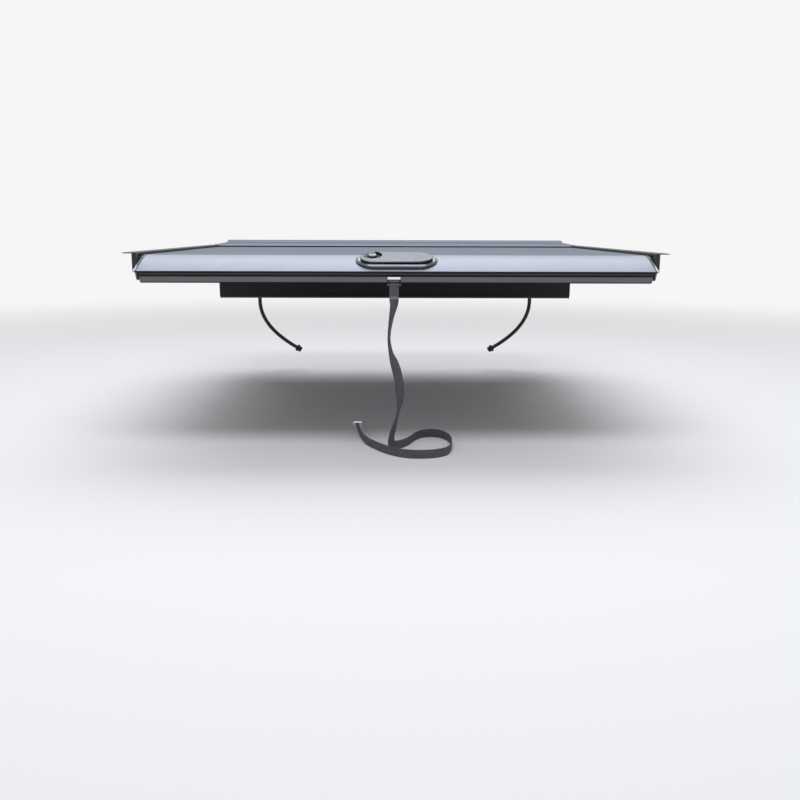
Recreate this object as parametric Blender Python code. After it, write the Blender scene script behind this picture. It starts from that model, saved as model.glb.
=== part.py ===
"""Retractable roller-shutter tonneau cover for a pickup bed.

Frame: X to the right, Y forward to the cab, Z up. x = 0 is the middle of the
cover, y = 0 the rear edge of the tail panel and z = 0 the plane in which the
side rails sit on the bed rails. All lengths are in metres.
"""

import math

import bmesh
import bpy
from mathutils import Matrix, Vector

# Clearances
GAP = 0.0003
RUN_GAP = 0.0005
SLIDE_GAP = 0.003

# Deck and tail panel
DECK_TOP = -0.004
PANEL_HALF = 0.700
NOSE_LENGTH = 0.114
NOSE_FRONT_ANGLE = math.radians(9.1)
NOSE_REAR_ANGLE = math.radians(29.2)
NOSE_STEPS = 12
SKIN = 0.003
NOSE_LIP = 0.0036
CAP_THICK = 0.005
REAR_WALL = 0.010
BOX_WALL = 0.003
FRONT_WALL = 0.098
NOSE_RADIUS = NOSE_LENGTH / (math.sin(NOSE_REAR_ANGLE) - math.sin(NOSE_FRONT_ANGLE))
NOSE_CENTRE_Y = NOSE_LENGTH + NOSE_RADIUS * math.sin(NOSE_FRONT_ANGLE)
NOSE_CENTRE_Z = DECK_TOP - NOSE_RADIUS * math.cos(NOSE_FRONT_ANGLE)

# Lower bar, seal and drip lip at the rear of the tail panel
BAR_REAR = 0.006
BAR_TOP = -0.0545
BAR_HEIGHT = 0.015
BAR_PLATE = 0.0028
BAR_INSET = 0.014
BAR_HALF = PANEL_HALF - BAR_INSET
BAR_BOTTOM = BAR_TOP - BAR_HEIGHT
DRIP_DEPTH = 0.0062
DRIP_REAR = 0.0125
DRIP_THICK = 0.003
SEAL_TOP = -0.0485
SEAL_HEIGHT = 0.004
SEAL_NOSE = 0.0028
SEAL_BULGE = 0.001

# Slats
SLAT_COUNT = 14
SLAT_PITCH = 0.0771
SLATS_END = NOSE_LENGTH + SLAT_COUNT * SLAT_PITCH
SLAT_THICK = 0.0085
SLAT_SKIN = 0.0022
SLAT_EDGE = 0.0009
SLAT_JOINT = 0.0006
HOOK_WALL = 0.0020
HOOK_REACH = 0.0050
HOOK_TOP = 0.0040
TONGUE_TOP = 0.0065
DOWN_HOOK = 0.0058
RIB_WIDTH = 0.0024
SOCKET_WALL = 0.0030

# Side rails
LIP_INNER = PANEL_HALF + SLIDE_GAP
RAIL_TOP = 0.003
LIP_UNDER = DECK_TOP + RUN_GAP
RAIL_CHANNEL = 0.0115
WEB_INNER = LIP_INNER + RAIL_CHANNEL
WEB_THICK = 0.0035
WEB_OUTER = WEB_INNER + WEB_THICK
SEAT_WIDTH = 0.027
SEAT_OUTER = WEB_OUTER + SEAT_WIDTH
SLAT_END_GAP = 0.0025
SLAT_HALF = WEB_INNER - SLAT_END_GAP
SEAT_PLANE = 0.0
LEDGE = 0.0025
LEDGE_TOP = DECK_TOP - SLAT_THICK - RUN_GAP
RAIL_REAR = 0.070
LATCH_HALF = 0.008

# Lock pod, in its own tilted frame: u to the right, v up the slope, w outward
POD_Y = 0.057
POD_ANGLE = math.asin((NOSE_CENTRE_Y - POD_Y) / NOSE_RADIUS)
POD_Z = NOSE_CENTRE_Z + NOSE_RADIUS * math.cos(POD_ANGLE)
BASE_LENGTH = 0.2195
BASE_DEPTH = 0.0985
BASE_TOP = 0.009
BASE_BEVEL = 0.0032
BASE_STEPS = 14
BASE_TRIM = 0.022
GASKET_RIM = 0.0017
GASKET_BAND = 0.009
GASKET_THICK = 0.002
POCKET_END_RIM = 0.0065
POCKET_SIDE_RIM = 0.00675
POCKET_LENGTH = BASE_LENGTH - 2.0 * POCKET_END_RIM
POCKET_DEPTH = BASE_DEPTH - 2.0 * POCKET_SIDE_RIM
POCKET_FLOOR = 0.0055
LID_END_GAP = 0.00425
LID_SIDE_GAP = 0.00325
LID_LENGTH = POCKET_LENGTH - 2.0 * LID_END_GAP
LID_DEPTH = POCKET_DEPTH - 2.0 * LID_SIDE_GAP
LID_BOTTOM = 0.0062
LID_TOP = 0.0125
LID_BEVEL = 0.0016
CUP_LEFT = -0.030
CUP_RIGHT = 0.075
CUP_NEAR = -0.030
CUP_FAR = 0.020
CUP_WALL = 0.0025
CUP_FLOOR = -0.012
SCOOP_LEFT = -0.034
SCOOP_RIGHT = 0.070
SCOOP_FLOOR = 0.0028
SCOOP_BACK = -0.031
LID_SCOOP_ROOF = 0.0088

# Paddle hinge
HINGE_V = 0.0335
HINGE_W = 0.0060
PIN_RADIUS = 0.0015
BARREL_RADIUS = 0.0030
BARREL_LEFT = -0.030
BARREL_RIGHT = 0.066
LUG_WIDTH = 0.005
LUG_HALF = 0.0033
LUG_RISE = 0.0026
RELIEF = 0.0050
HINGE_GROOVE_FLOOR = 0.0022
HINGE_GROOVE_NEAR = 0.0285
HINGE_GROOVE_LEFT = -0.054
LUG_ROOT = 0.001
ROUND_STEPS = 20

# Key cylinder, cam and latch rods
KEY_INSET = 0.04375
KEY_U = KEY_INSET - BASE_LENGTH / 2.0
KEY_V = 0.016
KEY_RADIUS = 0.0115
KEY_TOP = 0.0095
KEY_BODY_END = -0.0200
KEY_SHAFT_RADIUS = 0.004
KEY_SHAFT_END = -0.0288
KEY_SLOT_WIDTH = 0.0022
KEY_SLOT_LENGTH = 0.0105
KEY_SLOT_DEPTH = 0.0045
KEY_EDGE = 0.00055
KEY_CLEAR = 0.001
KEY_HOLLOW = 0.024
KEY_HOLLOW_V = 0.019
CAM_RADIUS = 0.0145
CAM_TOP = -0.0245
CAM_BOTTOM = -0.0275
PEG_RADIUS = 0.002
PEG_REACH = 0.0036
ROD_THROW = 0.012
PEG_ARM = ROD_THROW / math.sqrt(2.0)
PEG_OFFSET = ROD_THROW / 2.0
ROD_RADIUS = 0.004
ROD_W = -0.026
ROD_START = 0.019
LUG_THICK = 0.003
LUG_INNER = 0.0045
LUG_OUTER = 0.0130
LUG_END = 0.005
LUG_FOOT = 0.009
SLOT_CLEAR = 0.0005
ROD_Y = POD_Y + KEY_V * math.cos(POD_ANGLE) - ROD_W * math.sin(POD_ANGLE)
ROD_Z = POD_Z + KEY_V * math.sin(POD_ANGLE) + ROD_W * math.cos(POD_ANGLE)
RAIL_BOTTOM = ROD_Z - LATCH_HALF - LEDGE

# Runner of the tail caps and plug of the rails
RUNNER_REAR = 0.080
RUNNER_LENGTH = 0.026
RUNNER_END = WEB_INNER - SLIDE_GAP
PLUG_LENGTH = 0.018
PLUG_INSET = 0.0006
KEEPER_LENGTH = 0.030
KEEPER_INSET = 0.0042
KEEPER_INNER = LIP_INNER + KEEPER_INSET

# Canister
MOUTH_DEPTH = 0.0566
TRAY_LENGTH = 0.240
TRAY_REAR = SLATS_END + MOUTH_DEPTH
TRAY_FRONT = TRAY_REAR + TRAY_LENGTH
RAIL_FRONT = TRAY_REAR - GAP
TRAY_BOTTOM = -0.215
TRAY_SHEET = 0.002
TRAY_CORNER = 0.026
TRAY_MOUTH = -0.0175
TRAY_HALF = WEB_OUTER + GAP
CORNER_STEPS = 4
END_PLATE = 0.004
END_INNER = WEB_OUTER + RUN_GAP
END_OUTER = END_INNER + END_PLATE
END_TAB = 0.060
END_TAB_TOP = -0.003
END_TOP = 0.004
LID_OVERHANG = 0.080
LID_REAR = TRAY_REAR - LID_OVERHANG
LID_UNDER = 0.0045
LID_SHEET = 0.002
LID_RISE = 0.004
LID_UPSTAND = 0.009
LID_UPSTAND_WIDTH = 0.0125
LID_SKIRT = 0.024
LID_HEM = 0.004
WIPER_THICK = 0.004

# Drum
DRUM_SETBACK = 0.120
DRUM_Y = TRAY_REAR + DRUM_SETBACK
DRUM_Z = -0.105
DRUM_RADIUS = 0.038
DRUM_WALL = 0.0025
DRUM_END_GAP = 0.0285
DRUM_HALF = END_INNER - DRUM_END_GAP
BUSH_LENGTH = 0.020
BUSH_FLANGE = 0.044
BUSH_RIM = 0.0035
AXLE_RADIUS = 0.008
AXLE_NECK = 0.006
AXLE_SHOULDER_GAP = 0.002
AXLE_SHOULDER = END_INNER - AXLE_SHOULDER_GAP
AXLE_STUB = 0.005
AXLE_END = END_OUTER + AXLE_STUB
DRUM_STEPS = 32
SPRING_RADIUS = 0.021
SPRING_WIRE = 0.0017
SPRING_INSET = 0.090
SPRING_START = SPRING_INSET - DRUM_HALF
SPRING_LENGTH = 0.26
SPRING_TURNS = 13
SPRING_STEPS = 10
SPRING_SIDES = 6

# Leader band from the last slat to the drum
LEADER_SHEET = 0.0012
LEADER_INSET = 0.030
LEADER_HALF = DRUM_HALF - LEADER_INSET
LEADER_TURN = 0.012
LEADER_BEND_Y = TRAY_REAR + LEADER_TURN
LEADER_WRAP = math.radians(130.0)
LEADER_STEPS = 12
LEADER_DROP = 0.0045

# Clamps under the seat flanges
CLAMP_REAR_SETBACK = 0.230
CLAMP_REAR_Y = RAIL_REAR + CLAMP_REAR_SETBACK
CLAMP_FRONT_SETBACK = 0.2997
CLAMP_FRONT_Y = RAIL_FRONT - CLAMP_FRONT_SETBACK
CLAMP_WIDTH = 0.050
CLAMP_SHEET = 0.0040
CLAMP_LEG_TOP = -0.018
CLAMP_JAW_TOP = -0.054
CLAMP_JAW_THICK = 0.006
BOLT_OFFSET = 0.0145
BOLT_X = WEB_OUTER + BOLT_OFFSET
BOLT_RADIUS = 0.004
BOLT_HEAD_RADIUS = 0.0075
BOLT_HEAD_HEIGHT = 0.0055
BOLT_HEAD_DROP = 0.012
BOLT_PAD_RADIUS = 0.0085
BOLT_PAD_HEIGHT = 0.004
BOLT_PAD_TOP = -0.0115
BOLT_SIDES = 16
HEX_SIDES = 6

# Drains
DRAIN_INSET = 0.114
DRAIN_X = PANEL_HALF - DRAIN_INSET
DRAIN_SETBACK = 0.055
DRAIN_Y = TRAY_FRONT - DRAIN_SETBACK
SPIGOT_FLANGE = 0.015
SPIGOT_RIM = 0.0025
SPIGOT_RADIUS = 0.0062
SPIGOT_BORE = 0.0045
SPIGOT_LENGTH = 0.005
HOSE_RADIUS = 0.008
HOSE_BORE = 0.0055
HOSE_ROUND = 4
HOSE_REACH = Vector((-0.156, 0.050, -0.238))
HOSE_STRAIGHT = 0.016
HOSE_KNEE_HIGH = 0.105
HOSE_KNEE_LOW = Vector((0.085, -0.055, 0.060))
HOSE_STEPS = 8
GROMMET_RADIUS = 0.0155
GROMMET_SOCKET = 0.003
GROMMET_WAIST = 0.0120
GROMMET_RIM = 0.004
GROMMET_LENGTH = 0.014

# Pull strap and its fittings
STRAP_X = -0.007
STRAP_WIDTH = 0.025
STRAP_THICK = 0.0016
ANCHOR_WIDTH = 0.036
ANCHOR_THICK = 0.0024
ANCHOR_TOP = -0.0565
ANCHOR_PLATE = 0.011
ANCHOR_WINDOW = 0.011
ANCHOR_RAIL = 0.004
ANCHOR_SIDE = 0.0032
FOLD_LENGTH = 0.037
FLOOR_Z = -0.545
HOOK_EYE = 0.0145
HOOK_WIRE = 0.0026
HOOK_LENGTH = 0.046
HOOK_NOSE = 0.0100
HOOK_SIDES = 8
HOOK_STEPS = 12
STRAP_SMOOTH = 6

# Finishes: colour, metallic and roughness
COATED_ALUMINIUM = ((0.014, 0.015, 0.017), 0.4, 0.42)
COATED_STEEL = ((0.013, 0.014, 0.015), 0.5, 0.50)
MOULDED_NYLON = ((0.012, 0.012, 0.013), 0.0, 0.45)
GLOSSY_NYLON = ((0.014, 0.015, 0.017), 0.0, 0.33)
RUBBER = ((0.008, 0.008, 0.009), 0.0, 0.80)
GREY_ALUMINIUM = ((0.090, 0.092, 0.098), 0.8, 0.45)
PLATED_STEEL = ((0.62, 0.63, 0.65), 1.0, 0.32)
WEBBING = ((0.045, 0.046, 0.052), 0.0, 0.90)
COATED_FABRIC = ((0.014, 0.014, 0.015), 0.0, 0.60)


def new_material(name, finish):
    """Return a plain material for one piece, of a finish's colour, metallic and roughness."""
    colour, metallic, roughness = finish
    material = bpy.data.materials.new(name)
    material.use_nodes = True
    shader = material.node_tree.nodes["Principled BSDF"]
    shader.inputs["Base Color"].default_value = (*colour, 1.0)
    shader.inputs["Metallic"].default_value = metallic
    shader.inputs["Roughness"].default_value = roughness
    return material


def add_piece(name, shape, finish):
    """Make one object of a bmesh, with its faces turned outward."""
    bmesh.ops.recalc_face_normals(shape, faces=shape.faces)
    if shape.calc_volume(signed=True) < 0.0:
        bmesh.ops.reverse_faces(shape, faces=shape.faces)
    mesh = bpy.data.meshes.new(name)
    shape.to_mesh(mesh)
    shape.free()
    piece = bpy.data.objects.new(name, mesh)
    bpy.context.collection.objects.link(piece)
    mesh.materials.append(new_material(name + "_finish", finish))
    return piece


def add_hose(name, points, finish):
    """Make one free hose as a round curve with closed ends."""
    line = bpy.data.curves.new(name, "CURVE")
    line.dimensions = "3D"
    line.bevel_depth = HOSE_RADIUS
    line.bevel_resolution = HOSE_ROUND
    line.use_fill_caps = True
    spline = line.splines.new("POLY")
    spline.points.add(len(points) - 1)
    for place, point in zip(spline.points, points):
        place.co = (*point, 1.0)
    line.materials.append(new_material(name + "_finish", finish))
    piece = bpy.data.objects.new(name, line)
    bpy.context.collection.objects.link(piece)


def set_origin(piece, point):
    """Put the origin of a moving piece on its joint's axis, with its shape left in place."""
    piece.data.transform(Matrix.Translation(-point))
    piece.location = point


def least_gap(points, radius, apart):
    """Return the least gap of a wound tube to itself, between points at least so many places apart."""
    least = math.inf
    for index, point in enumerate(points):
        for other in points[index + apart :]:
            least = min(least, (other - point).length)
    return least - 2.0 * radius


def loft(rings):
    """Return a closed bmesh through equal rings of points."""
    shape = bmesh.new()
    rows = []
    for ring in rings:
        rows.append([shape.verts.new(point) for point in ring])
    count = len(rows[0])
    for low, high in zip(rows, rows[1:]):
        for index in range(count):
            after = (index + 1) % count
            shape.faces.new((low[index], low[after], high[after], high[index]))
    shape.faces.new(rows[0])
    shape.faces.new(list(reversed(rows[-1])))
    return shape


def prism_x(outline, start, end):
    """Return a bar along X with an outline of (y, z) points."""
    return loft([[(x, y, z) for y, z in outline] for x in (start, end)])


def prism_y(outline, start, end, side=1.0):
    """Return a bar along Y with an outline of (x, z) points, mirrored by side."""
    return loft([[(side * x, y, z) for x, z in outline] for y in (start, end)])


def prism_w(outline, start, end):
    """Return a bar along Z with an outline of (x, y) points."""
    return loft([[(x, y, z) for x, y in outline] for z in (start, end)])


def block(low, high):
    """Return a box between two corners."""
    outline = [(low[0], low[1]), (high[0], low[1]), (high[0], high[1]), (low[0], high[1])]
    return prism_w(outline, low[2], high[2])


def circle(radius, count, centre=(0.0, 0.0)):
    """Return points round a circle."""
    points = []
    for index in range(count):
        turn = math.tau * (index + 0.5) / count
        points.append((centre[0] + radius * math.cos(turn), centre[1] + radius * math.sin(turn)))
    return points


def rod_x(radius, start, end, y, z, count):
    """Return a round bar along X."""
    return prism_x(circle(radius, count, (y, z)), start, end)


def rod_w(radius, start, end, x, y, count):
    """Return a round bar along Z."""
    return prism_w(circle(radius, count, (x, y)), start, end)


def stadium(length, depth, count):
    """Return a slot-shaped outline with round ends."""
    radius = depth / 2.0
    centre = length / 2.0 - radius
    points = []
    for side, first in ((1.0, -math.pi / 2.0), (-1.0, math.pi / 2.0)):
        for index in range(count + 1):
            turn = first + math.pi * index / count
            points.append((side * centre + radius * math.cos(turn), radius * math.sin(turn)))
    return points


def lathe_x(profile, y, z, count):
    """Return a body turned about an axis along X, of (x, radius) points."""
    rings = []
    for x, radius in profile:
        rings.append([(x, py, pz) for py, pz in circle(radius, count, (y, z))])
    return loft(rings)


def ring_x(profile, y, z, count):
    """Return a ring turned about an axis along X, of a closed run of (x, radius) points."""
    shape = bmesh.new()
    rows = []
    for x, radius in profile:
        rows.append([shape.verts.new((x, py, pz)) for py, pz in circle(radius, count, (y, z))])
    total = len(rows)
    for row in range(total):
        low = rows[row]
        high = rows[(row + 1) % total]
        for index in range(count):
            after = (index + 1) % count
            shape.faces.new((low[index], low[after], high[after], high[index]))
    return shape


def sheet_outline(path, thick):
    """Return the closed outline of a sheet of one thickness along an open path."""
    above = []
    below = []
    last = len(path) - 1
    for index, point in enumerate(path):
        here = Vector(point)
        before = Vector(path[max(index - 1, 0)])
        after = Vector(path[min(index + 1, last)])
        into = (here - before) if index > 0 else (after - here)
        out = (after - here) if index < last else (here - before)
        into.normalize()
        out.normalize()
        bisector = Vector((-into.y - out.y, into.x + out.x))
        bisector.normalize()
        reach = thick / 2.0 / max(bisector.dot(Vector((-into.y, into.x))), thick)
        above.append(tuple(here + bisector * reach))
        below.append(tuple(here - bisector * reach))
    return above + list(reversed(below))


def corner(centre, radius, first, last, count):
    """Return points on an arc between two angles."""
    points = []
    for index in range(count + 1):
        turn = first + (last - first) * index / count
        points.append((centre[0] + radius * math.cos(turn), centre[1] + radius * math.sin(turn)))
    return points


def combine(target, shape, operation):
    """Cut, join or keep the common part of a piece and a bmesh."""
    bmesh.ops.recalc_face_normals(shape, faces=shape.faces)
    if shape.calc_volume(signed=True) < 0.0:
        bmesh.ops.reverse_faces(shape, faces=shape.faces)
    mesh = bpy.data.meshes.new("tool")
    shape.to_mesh(mesh)
    shape.free()
    tool = bpy.data.objects.new("tool", mesh)
    bpy.context.collection.objects.link(tool)
    step = target.modifiers.new("combine", "BOOLEAN")
    step.operation = operation
    step.solver = "EXACT"
    step.object = tool
    graph = bpy.context.evaluated_depsgraph_get()
    result = bpy.data.meshes.new_from_object(target.evaluated_get(graph))
    target.modifiers.clear()
    old = target.data
    target.data = result
    bpy.data.meshes.remove(old)
    bpy.data.objects.remove(tool, do_unlink=True)
    bpy.data.meshes.remove(mesh)


def tube(points, radius, count):
    """Return a round closed tube along a run of points."""
    rings = []
    normal = None
    last = len(points) - 1
    for index, point in enumerate(points):
        before = points[max(index - 1, 0)]
        after = points[min(index + 1, last)]
        along = (after - before).normalized()
        if normal is None:
            normal = along.orthogonal().normalized()
        normal = (normal - along * normal.dot(along)).normalized()
        other = along.cross(normal)
        rings.append([point + normal * a + other * b for a, b in circle(radius, count)])
    return loft(rings)


def ribbon(points, across, width, thick):
    """Return a flat closed band along points, with its width along given directions."""
    rings = []
    last = len(points) - 1
    for index, point in enumerate(points):
        before = points[max(index - 1, 0)]
        after = points[min(index + 1, last)]
        along = (after - before).normalized()
        side = across[index] - along * across[index].dot(along)
        side = side.normalized() * (width / 2.0)
        face = along.cross(side).normalized() * (thick / 2.0)
        rings.append([point + side + face, point - side + face, point - side - face, point + side - face])
    return loft(rings)


def smooth_run(points, steps):
    """Return a smooth run through points, with steps pieces between two of them."""
    run = []
    last = len(points) - 1
    for index in range(last):
        p0 = points[max(index - 1, 0)]
        p1 = points[index]
        p2 = points[index + 1]
        p3 = points[min(index + 2, last)]
        for step in range(steps):
            t = step / steps
            run.append(
                (
                    p1 * 2.0
                    + (p2 - p0) * t
                    + (p0 * 2.0 - p1 * 5.0 + p2 * 4.0 - p3) * t**2
                    + (p1 * 3.0 - p0 - p2 * 3.0 + p3) * t**3
                )
                / 2.0
            )
    run.append(points[last])
    return run


def nose_point(y, inset=0.0):
    """Return the (y, z) of the tail panel's top curve at y, inset below it."""
    radius = NOSE_RADIUS - inset
    turn = math.asin((NOSE_CENTRE_Y - y) / radius)
    return (y, NOSE_CENTRE_Z + radius * math.cos(turn))


def nose_run(start, end, inset, count):
    """Return points along the top curve from one y to another."""
    points = []
    for index in range(count + 1):
        points.append(nose_point(start + (end - start) * index / count, inset))
    return points


def front_hook(y):
    """Return the tongue and hook at a front edge, from its upper end down."""
    low = DECK_TOP - SLAT_THICK
    tip = y + HOOK_REACH
    return [
        (y - SLAT_JOINT, DECK_TOP - TONGUE_TOP),
        (tip - HOOK_WALL, DECK_TOP - TONGUE_TOP),
        (tip - HOOK_WALL, DECK_TOP - HOOK_TOP),
        (tip, DECK_TOP - HOOK_TOP),
        (tip, low),
    ]


def slat_outline(y):
    """Return the open ribbed section of one slat that starts at y."""
    low = DECK_TOP - SLAT_THICK
    under = DECK_TOP - SLAT_SKIN
    front = y + SLAT_PITCH
    socket = y + HOOK_REACH + SLAT_JOINT
    middle = (y + front) / 2.0
    points = [
        (y, DECK_TOP - SLAT_EDGE),
        (y + SLAT_EDGE, DECK_TOP),
        (front - SLAT_JOINT - SLAT_EDGE, DECK_TOP),
        (front - SLAT_JOINT, DECK_TOP - SLAT_EDGE),
    ]
    points += front_hook(front)
    points += [
        (front - SLAT_JOINT - SOCKET_WALL, low),
        (front - SLAT_JOINT - SOCKET_WALL, under),
        (middle + RIB_WIDTH / 2.0, under),
        (middle + RIB_WIDTH / 2.0, low),
        (middle - RIB_WIDTH / 2.0, low),
        (middle - RIB_WIDTH / 2.0, under),
        (socket + SOCKET_WALL, under),
        (socket + SOCKET_WALL, low),
        (socket, low),
        (socket, under),
        (y + HOOK_WALL, under),
        (y + HOOK_WALL, DECK_TOP - DOWN_HOOK),
        (y, DECK_TOP - DOWN_HOOK),
    ]
    return points


def build_slats():
    """Make the interlocking slats of the deck."""
    for index in range(SLAT_COUNT):
        outline = slat_outline(NOSE_LENGTH + index * SLAT_PITCH)
        shape = prism_x(outline, -SLAT_HALF, SLAT_HALF)
        add_piece(f"slat_{index + 1:02d}", shape, COATED_ALUMINIUM)


POD_FRAME = Matrix.Translation((0.0, POD_Y, POD_Z)) @ Matrix.Rotation(POD_ANGLE, 4, "X")


def to_frame(shape):
    """Move a bmesh from the pod's own frame into the part's frame."""
    bmesh.ops.transform(shape, matrix=POD_FRAME, verts=shape.verts)
    return shape


def surface_band(low, high):
    """Return a wide bar between two heights over the tail panel's top curve."""
    start = NOSE_LENGTH + BASE_TOP
    end = -BASE_TOP
    outline = nose_run(start, end, -high, NOSE_STEPS)
    outline += list(reversed(nose_run(start, end, -low, NOSE_STEPS)))
    return prism_x(outline, -BASE_LENGTH, BASE_LENGTH)


def build_tail_panel():
    """Make the hollow tail panel with the cut-outs for the lock."""
    edge = NOSE_LENGTH - SLAT_JOINT
    wall_end = BAR_BOTTOM + BAR_PLATE + GAP
    inner = FRONT_WALL + BOX_WALL
    outline = nose_run(edge, 0.0, 0.0, NOSE_STEPS)
    outline += [nose_point(NOSE_LIP / 2.0, NOSE_LIP)]
    outline += [nose_point(REAR_WALL, SKIN)]
    outline += [(REAR_WALL, wall_end), (REAR_WALL + BOX_WALL, wall_end)]
    outline += nose_run(REAR_WALL + BOX_WALL, FRONT_WALL, SKIN, NOSE_STEPS)
    outline += [(FRONT_WALL, wall_end), (inner, wall_end), (inner, DECK_TOP - SLAT_THICK)]
    outline += list(reversed(front_hook(NOSE_LENGTH)))
    half = PANEL_HALF - CAP_THICK - GAP
    panel = add_piece("tail_panel", prism_x(outline, -half, half), COATED_ALUMINIUM)
    low = (CUP_LEFT - CUP_WALL - RUN_GAP, CUP_NEAR - CUP_WALL - RUN_GAP, CUP_FLOOR)
    high = (CUP_RIGHT + CUP_WALL + RUN_GAP, CUP_FAR + CUP_WALL + RUN_GAP, BASE_TOP)
    combine(panel, to_frame(block(low, high)), "DIFFERENCE")
    hole = rod_w(KEY_RADIUS + KEY_CLEAR, CUP_FLOOR, BASE_TOP, KEY_U, KEY_V, ROUND_STEPS)
    combine(panel, to_frame(hole), "DIFFERENCE")


def build_tail_caps():
    """Make the two end caps of the tail panel with their rail runners."""
    edge = NOSE_LENGTH - SLAT_JOINT
    front = FRONT_WALL + BOX_WALL + BAR_PLATE + GAP
    outline = nose_run(edge, 0.0, 0.0, NOSE_STEPS)
    outline += [nose_point(NOSE_LIP / 2.0, NOSE_LIP), (DRIP_REAR, SEAL_TOP)]
    outline += [(DRIP_REAR + BAR_HEIGHT, BAR_BOTTOM), (front, BAR_BOTTOM)]
    outline += [(front, DECK_TOP - SLAT_THICK), (edge, DECK_TOP - SLAT_THICK)]
    for side, name in ((-1.0, "left"), (1.0, "right")):
        inner = side * (PANEL_HALF - CAP_THICK)
        outer = side * PANEL_HALF
        cap = add_piece(f"tail_cap_{name}", prism_x(outline, inner, outer), MOULDED_NYLON)
        low = (PANEL_HALF - CAP_THICK / 2.0, RUNNER_REAR, LEDGE_TOP + RUN_GAP)
        high = (RUNNER_END, RUNNER_REAR + RUNNER_LENGTH, LIP_UNDER - SLIDE_GAP)
        runner = block(low, high)
        bmesh.ops.scale(runner, vec=(side, 1.0, 1.0), verts=runner.verts)
        combine(cap, runner, "UNION")
        bore = rod_x(ROD_RADIUS + RUN_GAP, inner - side * GAP, outer + side * GAP, ROD_Y, ROD_Z, ROUND_STEPS)
        combine(cap, bore, "DIFFERENCE")


def build_tail_bar():
    """Make the lower bar that closes the tail panel and its rubber seal."""
    front = FRONT_WALL + BOX_WALL + GAP
    plate_top = BAR_BOTTOM + BAR_PLATE
    outline = [
        (BAR_REAR, BAR_TOP),
        (REAR_WALL - GAP, BAR_TOP),
        (REAR_WALL - GAP, plate_top),
        (front, plate_top),
        (front, BAR_TOP),
        (front + BAR_PLATE, BAR_TOP),
        (front + BAR_PLATE, BAR_BOTTOM),
        (DRIP_REAR + DRIP_THICK, BAR_BOTTOM),
        (DRIP_REAR + DRIP_THICK, BAR_BOTTOM - DRIP_DEPTH),
        (DRIP_REAR, BAR_BOTTOM - DRIP_DEPTH),
        (DRIP_REAR, BAR_BOTTOM),
        (BAR_REAR, BAR_BOTTOM),
    ]
    add_piece("tail_bar", prism_x(outline, -BAR_HALF, BAR_HALF), GREY_ALUMINIUM)
    low = SEAL_TOP - SEAL_HEIGHT
    seal = [
        (REAR_WALL - GAP, SEAL_TOP),
        (REAR_WALL - GAP, low),
        (SEAL_NOSE + SEAL_BULGE, low),
        (SEAL_NOSE, low + SEAL_BULGE),
        (SEAL_NOSE, SEAL_TOP - SEAL_BULGE),
        (SEAL_NOSE + SEAL_BULGE, SEAL_TOP),
    ]
    add_piece("tail_seal", prism_x(seal, -BAR_HALF, BAR_HALF), RUBBER)


def bevelled(length, depth, low, high, bevel):
    """Return a slot-shaped plate with a bevelled upper edge."""
    rings = []
    for height, inset in ((low, 0.0), (high - bevel, 0.0), (high, bevel)):
        outline = stadium(length - 2.0 * inset, depth - 2.0 * inset, BASE_STEPS)
        rings.append([(x, y, height) for x, y in outline])
    return loft(rings)


def hinge_groove():
    """Return the hollow in the floor of the base that the rear edge of the paddle swings into."""
    wall = stadium(POCKET_LENGTH - 2.0 * GAP, POCKET_DEPTH - 2.0 * GAP, BASE_STEPS)
    edge = [(u, v) for u, v in wall if u > 0.0 and v > HINGE_GROOVE_NEAR]
    outline = [(HINGE_GROOVE_LEFT, HINGE_GROOVE_NEAR), (edge[0][0], HINGE_GROOVE_NEAR)]
    outline += edge
    outline += [(HINGE_GROOVE_LEFT, edge[-1][1])]
    return prism_w(outline, HINGE_GROOVE_FLOOR, BASE_TOP - BASE_BEVEL)


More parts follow.
